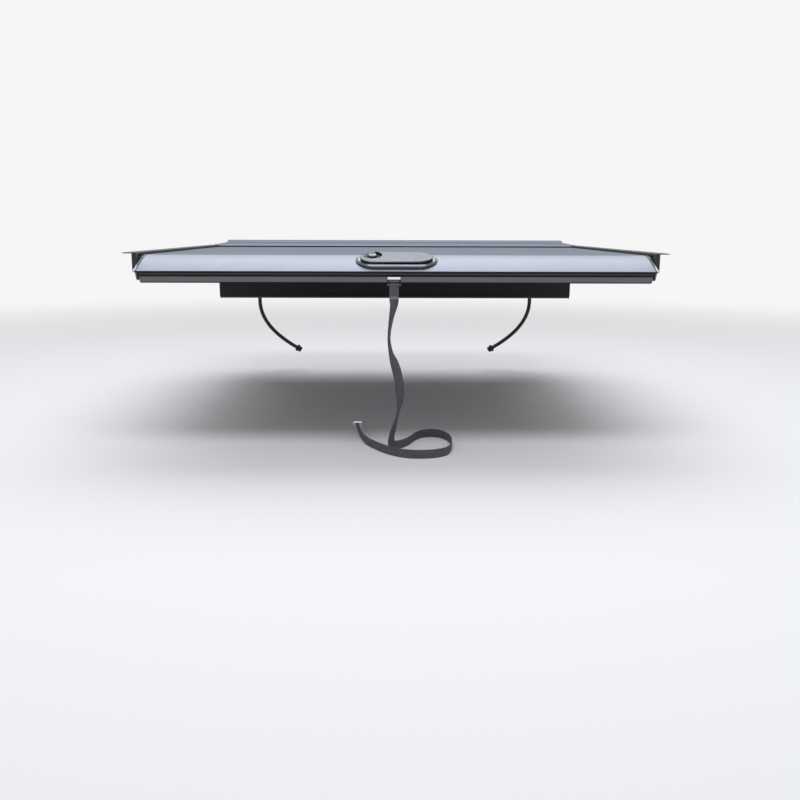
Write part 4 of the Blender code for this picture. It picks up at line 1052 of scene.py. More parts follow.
@dataclass(frozen=True)
class NoseCurve:
    """The round top of the tail panel, an arc in the (y, z) plane with its slopes at both ends."""

    length: float = 0.114
    front: float = 9.1
    rear: float = 29.2
    deck_top: float = -0.004

    @property
    def radius(self) -> float:
        """Return the arc's radius."""
        rise = math.sin(math.radians(self.rear)) - math.sin(math.radians(self.front))
        return self.length / rise

    @property
    def centre(self) -> Pair:
        """Work out the arc's centre.

        Returns:
            Its (y, z) place.
        """
        slope = math.radians(self.front)
        ahead = self.radius * math.sin(slope)
        return (self.length + ahead, self.deck_top - self.radius * math.cos(slope))

    def tilt(self, y: float) -> float:
        """Return the slope of the arc at a place along the cover, in radians."""
        return math.asin((self.centre[0] - y) / self.radius)

    def run(self, rear: float, front: float, lift: float, steps: int) -> List[Pair]:
        """Return points along the arc.

        Args:
            rear: The Y they start at.
            front: The Y they end at.
            lift: How far they stand off the arc.
            steps: Pieces between the two ends.

        Returns:
            The (y, z) points.
        """
        first = QUARTER + self.tilt(rear)
        last = QUARTER + self.tilt(front)
        return arc(self.centre, self.radius + lift, first, last, steps)


@dataclass
class PanScrew:
    """A pan-head screw with a cross recess, modelled at the origin along Z."""

    radius: float
    seat: float = 0.0006
    # The head's height and its recess, in shares of the radius and the height
    rise: float = 0.62
    cross_width: float = 0.24
    cross_length: float = 1.15
    cross_depth: float = 0.4
    # The head's outline above its rim, in shares of its radius and height
    dome: Tuple[Pair, ...] = (
        (1.0, 0.3), (0.96, 0.48), (0.84, 0.72), (0.6, 0.91), (0.3, 0.98), (0.0, 1.0)
    )
    steps: int = 28

    def build(self, name: str) -> Piece:
        """Turn the head and cut its recess.

        Args:
            name: The new piece's name.

        Returns:
            The screw, whose head stands on Z = 0.
        """
        top = self.radius * self.rise
        section = [(0.0, -self.seat), (self.radius, -self.seat)]
        section += [(self.radius * across, top * height) for across, height in self.dome]
        screw = Bench.lathe(name, section, self.steps, HOME)
        narrow = self.radius * self.cross_width / 2.0
        wide = self.radius * self.cross_length / 2.0
        floor = top * (1.0 - self.cross_depth) - self.seat / 2.0
        for x, y in ((narrow, wide), (wide, narrow)):
            Bench.cut(screw, Bench.block("cross_tool", (-x, -y, floor), (x, y, 2.0 * top)))
        return Bench.smooth(screw)


@dataclass
class Tail:
    """The sloped tail panel with its end caps, lower bar, drip edge and rubber seal."""

    nose: NoseCurve = NoseCurve()
    # The black strip beside a cap, painted shade in the seam: its two sides in X and its two ends
    # in Y
    seam: Pair = (0.6926, 0.6949)
    seam_run: Pair = (0.0012, 0.1124)
    seam_thick: float = 0.0005
    seam_lift: float = 0.0003
    seam_steps: int = 28
    # The (y, z) ends of the black strip painted as shadow under the panel's rear edge, and the
    # faces in Y and edges in Z of the black sheet painted as shade behind the seal
    edge_shadow_path: Tuple[Pair, Pair] = ((-0.0001, -0.0441), (0.0015, -0.0469))
    shade_sheet_face: Pair = (0.00973, 0.00996)
    shade_sheet_span: Pair = (-0.0662, -0.0418)
    painted_shade_half: float = 0.6945
    cap_screw: Triple = (0.6975, 0.0165, -0.0542)
    cap_screw_radius: float = 0.0021
    cap_slope: float = 54.5
    panel_edge: float = 0.0005
    cap_edge: float = 0.0006
    bar_edge: float = 0.0007
    half: float = 0.686
    bar_rear: float = 0.006
    bar_leg: float = 0.0097
    bar_top: float = -0.0586
    bar_lip: float = -0.0725
    bar_low: float = -0.0695
    plate_top: float = -0.0667
    front: float = 0.1013
    front_top: float = -0.0545
    sheet: float = 0.0028
    drip_rear: float = 0.0125
    drip_thick: float = 0.003
    drip_low: float = -0.0757
    seal_nose: float = 0.0028
    seal_back: float = 0.0097
    seal_top: float = -0.0485
    seal_low: float = -0.0525
    seal_steps: int = 12

    def build(self) -> None:
        """Make the pieces of the tail."""
        refit("tail_panel", DECK_COAT_PAINTED_SKY, Body.CURTAIN, self.panel_edge)
        self.build_caps()
        self.build_bar()
        self.build_seal()

    def build_caps(self) -> None:
        """Make the end caps, the black strips beside them that are painted shade in the seams, and
        their screws.
        """
        screw = PanScrew(self.cap_screw_radius).build("screw_first")
        path = self.nose.run(*self.seam_run, self.seam_lift, self.seam_steps)
        section = sheet_section(path, self.seam_thick)
        x, y, z = self.cap_screw
        lean = QUARTER + math.radians(90.0 - self.cap_slope)
        for hand in Hand:
            refit(f"tail_cap_{hand.word}", CAP_PAINTED_SHEEN, Body.CURTAIN, self.cap_edge)
            ends = sorted(hand.value * side for side in self.seam)
            # A thin black rubber strip over the seam: painted shade where the gap is dark.
            seam = Bench.beam(f"tail_cap_seam_{hand.word}", section, *ends)
            fit(Bench.smooth(seam), RUBBER, Body.CURTAIN)
            place = turned((hand.value * x, y, z), lean, "X")
            fit(Bench.copy(screw, f"tail_cap_screw_{hand.word}", place), ZINC, Body.CURTAIN)
        Bench.discard(screw)

    def build_bar(self) -> None:
        """Make the grey bar, and the drip edge behind its lower lip coated black as painted shade.
        """
        section = [
            (self.bar_rear, self.bar_top),
            (self.bar_leg, self.bar_top),
            (self.bar_leg, self.plate_top),
            (self.front, self.plate_top),
            (self.front, self.front_top),
            (self.front + self.sheet, self.front_top),
            (self.front + self.sheet, self.bar_low),
            (self.bar_rear + self.sheet, self.bar_low),
            (self.bar_rear + self.sheet, self.bar_lip),
            (self.bar_rear, self.bar_lip),
        ]
        bar = Bench.beam("tail_bar_dressed", section, -self.half, self.half)
        fit(Bench.soften(bar, self.bar_edge), ANODISED, Body.CURTAIN, ["tail_bar"])
        # The drip edge is the bar's own anodised metal; the black coat on it is painted shade.
        low = (-self.half, self.drip_rear, self.drip_low)
        high = (self.half, self.drip_rear + self.drip_thick, self.bar_low)
        drip = Bench.block("tail_bar_drip_painted_shade", low, high)
        fit(Bench.soften(drip, self.bar_edge), RAIL_COAT, Body.CURTAIN, ["tail_bar"])

    def build_seal(self) -> None:
        """Make the rubber seal with its rounded nose, the black strip above it painted as shadow
        and the black sheet behind it painted as shade.
        """
        radius = (self.seal_top - self.seal_low) / 2.0
        centre = (self.seal_nose + radius, (self.seal_top + self.seal_low) / 2.0)
        section = arc(centre, radius, QUARTER, 3.0 * QUARTER, self.seal_steps)
        section += [(self.seal_back, self.seal_low), (self.seal_back, self.seal_top)]
        seal = Bench.beam("tail_seal_dressed", section, -self.half, self.half)
        fit(Bench.smooth(seal), SEAL_RUBBER_PAINTED_LIGHT, Body.CURTAIN, ["tail_seal"])
        # A thin black strip under the panel's rear edge: painted shadow.
        section = sheet_section(self.edge_shadow_path, self.seam_thick)
        lip = Bench.beam("tail_edge_painted_shadow", section, -self.painted_shade_half, self.painted_shade_half)
        fit(lip, RUBBER, Body.CURTAIN)
        # A thin black sheet on the panel's rear wall behind the seal: painted shade.
        low = (-self.painted_shade_half, self.shade_sheet_face[0], self.shade_sheet_span[0])
        high = (self.painted_shade_half, self.shade_sheet_face[1], self.shade_sheet_span[1])
        fit(Bench.block("tail_seal_painted_shade", low, high), RUBBER, Body.CURTAIN)


@dataclass
class Lock:
    """The recessed lock: gasket, base, lift paddle, key cylinder, cam and latch rods."""

    nose: NoseCurve = NoseCurve()
    nose_steps: int = 240
    pod_y: float = 0.057
    seat: float = 0.0026
    # Length and depth of the base, of its pocket and of the paddle's lid
    base: Pair = (0.2195, 0.0985)
    pocket: Pair = (0.2100, 0.0885)
    lid: Pair = (0.198, 0.0785)
    base_top: float = 0.009
    base_low: float = -0.012
    base_wall: float = 0.0026
    base_skirt: float = 0.0080
    base_round: float = 0.0014
    pocket_floor: float = 0.0055
    pocket_fillet: float = 0.001
    pocket_steps: int = 3
    # The finger cup's corners, and the ramp into it by its X span and its (y, z) ends
    cup_low: Triple = (-0.030, -0.030, -0.012)
    cup_high: Triple = (0.075, 0.020, 0.030)
    cup_wall: float = 0.0025
    cup_fillet: float = 0.003
    ramp_span: Pair = (-0.034, 0.070)
    ramp: Tuple[Pair, Pair] = ((-0.0462, 0.0090), (-0.0340, 0.0060))
    ramp_fillet: float = 0.0015
    fillet_steps: int = 4
    # The hinge axis as (y, z), and the barrel's X span
    hinge: Pair = (0.0335, 0.0060)
    hinge_span: Pair = (-0.030, 0.066)
    barrel: float = 0.003
    barrel_steps: int = 24
    # A lug's width, half depth and height over the axis
    lug: Triple = (0.005, 0.0033, 0.0026)
    run_gap: float = 0.0005
    # The groove's corners, and the (x, y) it reaches to on the left for the paddle's front edge
    groove_low: Triple = (-0.054, 0.0285, 0.0022)
    groove_high: Triple = (0.072, 0.0415, 0.0060)
    groove_horn: Pair = (-0.0690, 0.0345)
    relief: float = 0.005
    lid_taper: float = 0.056
    lid_low: float = 0.0062
    lid_top: float = 0.0125
    lid_round: float = 0.0021
    lid_steps: int = 5
    # The scoop's height and its Y span from front to rear, over the ramp
    lid_scoop: Triple = (0.0088, -0.031, -0.060)
    # The hollow's (x, y) and radius, and the key's (x, y)
    hollow: Triple = (-0.066, 0.013, 0.027)
    key: Pair = (-0.066, 0.016)
    key_radius: float = 0.0115
    key_gap: float = 0.0005
    key_low: float = -0.020
    key_shaft: float = 0.004
    key_end: float = -0.0288
    key_top: float = 0.0116
    key_face: float = 0.0106
    key_crown: float = 0.0129
    key_chamfer: float = 0.0012
    key_steps: int = 48
    # The key slot's width, length and depth, and the radii and height of the black ring painted as
    # shade on the hollow's floor
    slot: Triple = (0.0022, 0.0105, 0.0030)
    well: Triple = (0.0122, 0.0262, 0.0061)
    well_steps: int = 64
    steps: int = 40
    edge: float = 0.0004
    # How far a cutter stands up, in heights of what it cuts
    overshoot: float = 3.0

    def pod(self) -> Matrix:
        """Work out the tilted frame of the lock, on the tail panel's curve.

        Returns:
            Its place on the cover.
        """
        tilt = self.nose.tilt(self.pod_y)
        height = self.nose.centre[1] + self.nose.radius * math.cos(tilt)
        return turned((0.0, self.pod_y, height), tilt, "X")

    def lug_starts(self) -> Pair:
        """Return where the two hinge lugs start along X, one past each end of the barrel."""
        first, last = self.hinge_span
        return (first - self.lug[0] - self.run_gap, last + self.run_gap)

    def build(self) -> None:
        """Make the pieces of the lock."""
        refit("lock_gasket", RUBBER, Body.CURTAIN, self.edge)
        self.build_base()
        self.build_paddle()
        self.build_barrel()
        self.build_shade_well()
        self.build_face()
        refit("paddle_pin", ZINC, Body.CURTAIN, self.edge / 2.0)
        refit("lock_cam", ZINC, Body.KEY, self.edge / 2.0)
        refit("latch_rod_left", ZINC, Body.ROD_LEFT, self.edge)
        refit("latch_rod_right", ZINC, Body.ROD_RIGHT, self.edge)

    def build_base(self) -> None:
        """Make the round-shouldered base, seated on the tail panel, with all its recesses."""
        pod = self.pod()
        outline = stadium(*self.base, self.steps)
        base = Bench.prism("lock_base_dressed", outline, self.base_low, self.base_wall)
        Bench.skirt(base, self.base_skirt, self.base_top - self.base_wall)
        base.data.transform(pod)
        Bench.bevel(base, self.base_round, self.fillet_steps)
        circle = ring_points(self.nose.centre, self.nose.radius + self.seat, self.nose_steps)
        Bench.cut(base, Bench.beam("nose_tool", circle, -self.base[0], self.base[0]))
        self.cut_cup(base, pod)
        self.cut_hinge(base, pod)
        hole = ring_points(self.key, self.key_radius + self.key_gap, self.steps)
        over = self.overshoot * self.base_top
        Bench.cut(base, Bench.prism("key_tool", hole, self.key_end, over, pod))
        fit(Bench.soften(base, self.edge), LOCK_PLASTIC, Body.CURTAIN, ["lock_base"])

    def cut_cup(self, base: Piece, pod: Matrix) -> None:
        """Cut the pocket, the finger cup and the ramp that leads into it.

        Args:
            base: The base so far.
            pod: The lock's frame.
        """
        over = self.overshoot * self.base_top
        wall = Vector((self.cup_wall, self.cup_wall, self.cup_wall))
        low = Vector(self.cup_low) - wall
        high = Vector((*self.cup_high[:2], self.pocket_floor - wall.z)) + wall
        cup = Bench.block("cup_tool", low, high, pod)
        Bench.cut(base, Bench.bevel(cup, self.cup_fillet, self.fillet_steps), Cut.JOIN)
        outline = stadium(*self.pocket, self.steps)
        pocket = Bench.prism("pocket_tool", outline, self.pocket_floor, over, pod)
        Bench.cut(base, Bench.bevel(pocket, self.pocket_fillet, self.pocket_steps))
        inner = Bench.block("cup_tool", self.cup_low, self.cup_high, pod)
        Bench.cut(base, Bench.bevel(inner, self.cup_fillet, self.fillet_steps))
        near, far = self.ramp
        wedge = [near, far, (far[0], over), (near[0], over)]
        ramp = Bench.beam("ramp_tool", wedge, *self.ramp_span, pod)
        Bench.cut(base, Bench.bevel(ramp, self.ramp_fillet, self.fillet_steps))

    def cut_hinge(self, base: Piece, pod: Matrix) -> None:
        """Cut the groove that the paddle swings in and stand the hinge lugs in it.

        Args:
            base: The base so far.
            pod: The lock's frame.
        """
        left, near, deep = self.groove_low
        right, back, rim = self.groove_high
        bend = [(left, self.groove_horn[1]), (left, near), (right, near), (right, back)]
        bend += [(self.groove_horn[0], back), self.groove_horn]
        Bench.cut(base, Bench.prism("groove_tool", bend, deep, rim, pod))
        width, half, rise = self.lug
        for start in self.lug_starts():
            low = (start, self.hinge[0] - half, deep - self.run_gap)
            high = (start + width, self.hinge[0] + half, self.hinge[1] + rise)
            lug = Bench.bevel(Bench.block("lug_tool", low, high, pod), 2.0 * self.edge)
            Bench.cut(base, lug, Cut.JOIN)

    def build_paddle(self) -> None:
        """Make the lift paddle with the hollow round the key and its hinge barrel."""
        pod = self.pod()
        length, depth = self.lid
        outline = []
        for x, y in stadium(length, depth, self.steps):
            past = x - (length / 2.0 - self.lid_taper)
            if past > 0.0:
                limit = depth / 2.0 * math.sqrt(max(0.0, 1.0 - (past / self.lid_taper) ** 2))
                y = max(-limit, min(limit, y))
            outline.append((x, y))
        paddle = Bench.prism("lock_paddle_dressed", outline, self.lid_low, self.lid_top, pod)
        Bench.bevel(paddle, self.lid_round, self.lid_steps)
        circle = ring_points(self.hinge, self.barrel, self.barrel_steps)
        Bench.cut(paddle, Bench.beam("barrel_tool", circle, *self.hinge_span, pod), Cut.JOIN)
        y, z = self.hinge
        for start in self.lug_starts():
            end = start + self.lug[0] + self.run_gap
            low = (start - self.run_gap, y - self.relief, 0.0)
            high = (end, y + self.relief, z + self.relief)
            Bench.cut(paddle, Bench.block("relief_tool", low, high, pod))
        circle = ring_points(self.hollow[:2], self.hollow[2], 2 * self.steps)
        over = self.overshoot * self.lid_top
        Bench.cut(paddle, Bench.prism("hollow_tool", circle, 0.0, over, pod))
        roof, back, near = self.lid_scoop
        low = (self.ramp_span[0], near, 0.0)
        high = (self.ramp_span[1], back, roof)
        scoop = Bench.block("scoop_tool", low, high, pod)
        Bench.cut(paddle, Bench.bevel(scoop, self.ramp_fillet, self.fillet_steps))
        fit(Bench.soften(paddle, self.edge), PADDLE_PLASTIC, Body.PADDLE, ["lock_paddle"])

    def build_barrel(self) -> None:
        """Make the black barrel of the key cylinder, with the shaft that drives the cam."""
        place = self.pod() @ Matrix.Translation((*self.key, 0.0))
        section = [
            (0.0, self.key_end),
            (self.key_shaft, self.key_end),
            (self.key_shaft, self.key_low),
            (self.key_radius, self.key_low),
            (self.key_radius, self.key_top - self.key_chamfer),
            (self.key_radius - self.key_chamfer, self.key_top),
            (0.0, self.key_top),
        ]
        barrel = Bench.lathe("key_cylinder_dressed", section, self.key_steps, place)
        fit(Bench.soften(barrel, self.edge), LOCK_PLASTIC, Body.KEY, ["key_cylinder"])

    def build_shade_well(self) -> None:
        """Make the matt black ring on the hollow's floor round the key, painted shade where the
        deep hollow is dark.
        """
        inner, outer, top = self.well
        low = self.pocket_floor - self.edge
        ring = [
            (inner, low),
            (outer, low),
            (outer, top - self.edge),
            (outer - self.edge, top),
            (inner + self.edge, top),
            (inner, top - self.edge),
        ]
        pod = self.pod()
        place = pod @ Matrix.Translation((*self.hollow[:2], 0.0))
        # A black rubber ring over the pocket floor: painted shade in the hollow.
        well = Bench.lathe("key_well_painted_shade", ring, self.well_steps, place)
        hole = ring_points(self.key, inner, self.steps)
        Bench.cut(well, Bench.prism("key_tool", hole, -outer, outer, pod))
        fit(Bench.smooth(well), RUBBER, Body.CURTAIN)

    def build_face(self) -> None:
        """Make the key's dark metal face with its slot."""
        place = self.pod() @ Matrix.Translation((*self.key, 0.0))
        top = self.key_crown
        section = [
            (0.0, self.key_low / 2.0),
            (self.key_face, self.key_low / 2.0),
            (self.key_face, self.key_top + self.edge),
            (self.key_face - self.key_chamfer, top - self.edge),
            (self.key_face / 2.0, top - self.edge / 4.0),
            (0.0, top),
        ]
        face = Bench.lathe("key_face", section, self.key_steps, place)
        width, length, depth = self.slot
        low = (-width / 2.0, -length / 2.0, top - depth)
        high = (width / 2.0, length / 2.0, 2.0 * top)
        Bench.cut(face, Bench.block("slot_tool", low, high, place))
        fit(Bench.smooth(face), DARK_NICKEL, Body.KEY, ["key_cylinder"])


@dataclass
class Rails:
    """The side rails with their end plugs, clamps and pinch bolts."""

    rail_edge: float = 0.0006
    plug_edge: float = 0.0009
    clamp_edge: float = 0.0008
    # Screws in the plugs' rear face by (x, z), and in the end plates by (y, z)
    plug_rear: float = 0.0517
    plug_screws: Tuple[Pair, ...] = ((0.7068, -0.0430), (0.7142, -0.0430))
    plug_screw_radius: float = 0.0026
    plate_face: float = 0.7225
    plate_screws: Tuple[Pair, ...] = (
        (1.265, -0.03), (1.475, -0.03), (1.275, -0.195), (1.465, -0.195)
    )
    plate_screw_radius: float = 0.0042
    bolt_offset: float = 0.7325
    bolt_edge: float = 0.0008
    bolt_steps: int = 24
    bolt_angle: float = 30.0
    clamp_places: Tuple[Tuple[str, float], ...] = (("rear", 0.3), ("front", 0.95))
    shank: float = 0.004
    shank_root: float = 0.001
    thread: float = 0.00125
    thread_depth: float = 0.0006
    head_low: float = -0.0775
    head_top: float = -0.072
    head_reach: float = 0.0075
    head_sides: int = 6
    pad_low: float = -0.0155
    pad_top: float = -0.0115
    pad_radius: float = 0.0085

    def build(self) -> None:
        """Make the rails and what is fixed to them."""
        for hand in Hand:
            refit(f"side_rail_{hand.word}", RAIL_COAT, Body.FRAME, self.rail_edge)
            refit(f"rail_plug_{hand.word}", NYLON, Body.FRAME, self.plug_edge)
            for place, y in self.clamp_places:
                refit(f"clamp_{place}_{hand.word}", RAIL_COAT, Body.FRAME, self.clamp_edge)
                node = f"clamp_bolt_{place}_{hand.word}"
                self.build_bolt(node, (hand.value * self.bolt_offset, y))
        self.build_screws()

    def build_screws(self) -> None:
        """Make the screws of the rail plugs and of the canister's end plates."""
        small = PanScrew(self.plug_screw_radius).build("screw_first")
        large = PanScrew(self.plate_screw_radius).build("screw_second")
        for hand in Hand:
            for index, (x, z) in enumerate(self.plug_screws):
                place = turned((hand.value * x, self.plug_rear, z), QUARTER, "X")
                screw = Bench.copy(small, f"plug_screw_{hand.word}_{index + 1}", place)
                fit(screw, ZINC, Body.FRAME)
            for index, (y, z) in enumerate(self.plate_screws):
                place = turned((hand.value * self.plate_face, y, z), hand.value * QUARTER, "Y")
                screw = Bench.copy(large, f"plate_screw_{hand.word}_{index + 1}", place)
                fit(screw, ZINC, Body.FRAME)
        Bench.discard(small)
        Bench.discard(large)

    def bolt_section(self) -> List[Pair]:
        """Draw the bolt's shank with its cut thread, and the swivel pad on it.

        Returns:
            The (radius, height) outline, from inside the head up.
        """
        root = self.head_top - self.shank_root
        height = self.head_top + self.shank_root
        section = [(0.0, root), (self.shank, root), (self.shank, height)]
        while height + self.thread < self.pad_low:
            section.append((self.shank - self.thread_depth, height + self.thread / 2.0))
            section.append((self.shank, height + self.thread))
            height += self.thread
        rim = self.pad_radius
        return section + [
            (self.shank, self.pad_low),
            (rim - self.bolt_edge, self.pad_low),
            (rim, self.pad_low + self.bolt_edge),
            (rim, self.pad_top - self.bolt_edge),
            (rim - self.bolt_edge, self.pad_top),
            (0.0, self.pad_top),
        ]

    def build_bolt(self, node: str, spot: Pair) -> None:
        """Make one pinch bolt with a hex head, a cut thread and a swivel pad.

        Args:
            node: The bolt's node.
            spot: Its (x, y) place on the cover.
        """
        x, y = spot
        place = Matrix.Translation((x, y, 0.0))
        bolt = Bench.lathe(f"{node}_dressed", self.bolt_section(), self.bolt_steps, place)
        ring = []
        for index in range(self.head_sides):
            turn = math.tau * (index + 0.5) / self.head_sides
            corner = (x + self.head_reach * math.cos(turn), y + self.head_reach * math.sin(turn))
            ring.append(corner)
        head = Bench.prism("bolt_head", ring, self.head_low, self.head_top)
        Bench.cut(bolt, Bench.bevel(head, self.bolt_edge), Cut.JOIN)
        fit(Bench.smooth(bolt, self.bolt_angle), ZINC, Body.FRAME, [node])


@dataclass
class Canister:
    """The canister at the front wall with the drum inside it."""

    tray_edge: float = 0.0006
    plate_edge: float = 0.0009
    lid_half: float = 0.7225
    lid_sheet: float = 0.002
    lid_edge: float = 0.0006
    lid_steps: int = 6
    # The middle of the lid's sheet as (y, z), from its hem to the front wall
    lid_path: Tuple[Pair, ...] = (
        (1.1700, -0.0008), (1.1800, 0.0050), (1.1900, 0.0055), (1.2500, 0.0055),
        (1.4200, 0.0088), (1.4510, 0.0098), (1.4635, 0.0148), (1.4740, 0.0180),
        (1.4830, 0.0185), (1.4893, 0.0164), (1.4913, 0.0105), (1.4913, -0.0145),
    )
    # The plugs' span in Y, their lower edge and their span in X
    plug_run: Pair = (1.2505, 1.4885)
    plug_level: float = 0.0042
    plug_span: Pair = (0.7195, 0.7215)
    # How far the plugs stay under the middle of the lid's sheet, in sheets
    plug_drop: float = 0.6
    wiper_half: float = 0.7025
    wiper_rear: float = 1.174
    wiper_thick: float = 0.004
    wiper_low: float = -0.0037
    wiper_top: float = -0.0001

    def build(self) -> None:
        """Make the housing and dress what turns in it."""
        refit("canister_tray", RAIL_COAT, Body.FRAME, self.tray_edge)
        self.build_lid()
        self.build_wiper()
        for hand in Hand:
            refit(f"canister_end_{hand.word}", NYLON, Body.FRAME, self.plate_edge)
            refit(f"drum_bush_{hand.word}", NYLON, Body.DRUM, self.tray_edge)
        refit("drum_axle", ZINC, Body.FRAME, self.tray_edge)
        dress("drum_tube", MILL_ALUMINIUM)
        dress("recoil_spring", ZINC)

    def build_lid(self) -> None:
        """Make the folded lid with its rolled front edge, and the plugs in its open ends."""
        run = smooth_run([Vector(spot) for spot in self.lid_path], self.lid_steps)
        section = sheet_section([tuple(spot) for spot in run], self.lid_sheet)
        lid = Bench.beam("canister_lid_dressed", section, -self.lid_half, self.lid_half)
        fit(Bench.soften(lid, self.lid_edge), SLAT_COAT_PAINTED_SHADE, Body.FRAME, ["canister_lid"])
        low = self.plug_level
        rear, front = self.plug_run
        under = [(y, z - self.lid_sheet * self.plug_drop) for y, z in run]
        crest = [(y, z) for y, z in under if rear < y < front and z > low]
        section = [(crest[0][0], low), (crest[-1][0], low)] + list(reversed(crest))
        for hand in Hand:
            ends = sorted(hand.value * x for x in self.plug_span)
            plug = Bench.beam(f"canister_lid_plug_{hand.word}", section, *ends)
            fit(Bench.smooth(plug), RUBBER, Body.FRAME)

    def build_wiper(self) -> None:
        """Make the rubber wiper under the lid's hem."""
        rear = self.wiper_rear
        front = rear + self.wiper_thick
        section = [
            (rear, self.wiper_top),
            (front, self.wiper_top),
            (front, self.wiper_low + self.wiper_thick / 4.0),
            (rear + self.wiper_thick / 2.0, self.wiper_low),
            (rear + self.wiper_thick / 4.0, self.wiper_low),
        ]
        wiper = Bench.beam("mouth_wiper_dressed", section, -self.wiper_half, self.wiper_half)
        fit(Bench.soften(wiper, self.lid_edge), RUBBER, Body.FRAME, ["mouth_wiper"])


@dataclass
class Drains:
    """The drain spigots, hoses and bulkhead grommets."""

    x: float = 0.586
    y: float = 1.435
    hose_top: float = -0.2231
    tray_bottom: float = -0.215
    straight: float = 0.016
    radius: float = 0.008
    # The hose's end from the tray's drain, and the handles of its bend at both ends
    reach: Triple = (-0.156, 0.05, -0.238)
    knee_high: float = 0.105
    knee_low: Triple = (0.085, -0.055, 0.06)
    steps: int = 32
    round_steps: int = 6
    edge: float = 0.0006

    def route(self, side: float) -> List[Vector]:
        """Lead one hose from its spigot to its grommet.

        Args:
            side: The sign of its X.

        Returns:
            Its centre line.
        """
        across, along, down = self.reach
        top = Vector((side * self.x, self.y, self.hose_top))
        begin = top + Vector((0.0, 0.0, -self.straight))
        high = top + Vector((0.0, 0.0, -self.knee_high))
        end = Vector((side * (self.x + across), self.y + along, self.tray_bottom + down))
        low = end + Vector((side * self.knee_low[0], self.knee_low[1], self.knee_low[2]))
        points = [top]
        for index in range(self.steps + 1):
            t = index / self.steps
            s = 1.0 - t
            upper = begin * s**3 + high * (3.0 * s**2 * t)
            points.append(upper + low * (3.0 * s * t**2) + end * t**3)
        return points

    def build(self) -> None:
        """Make both drains and their hoses."""
        for hand in Hand:
            refit(f"drain_spigot_{hand.word}", NYLON, Body.FRAME, self.edge)
            grommet = refit(f"drain_grommet_{hand.word}", RUBBER, Body.FRAME, self.edge)
            points = self.route(hand.value)
            name = f"drain_hose_{hand.word}"
            line = bpy.data.curves.new(f"{name}_dressed", "CURVE")
            line.dimensions = "3D"
            line.bevel_depth = self.radius
            line.bevel_resolution = self.round_steps
            line.use_fill_caps = True
            spline = line.splines.new("POLY")
            spline.points.add(len(points) - 1)
            for spot, point in zip(spline.points, points):
                spot.co = (*point, 1.0)
            hose = Bench.add(f"{name}_dressed", line)
            fit(hose, HOSE_RUBBER, Body.FRAME, [name])


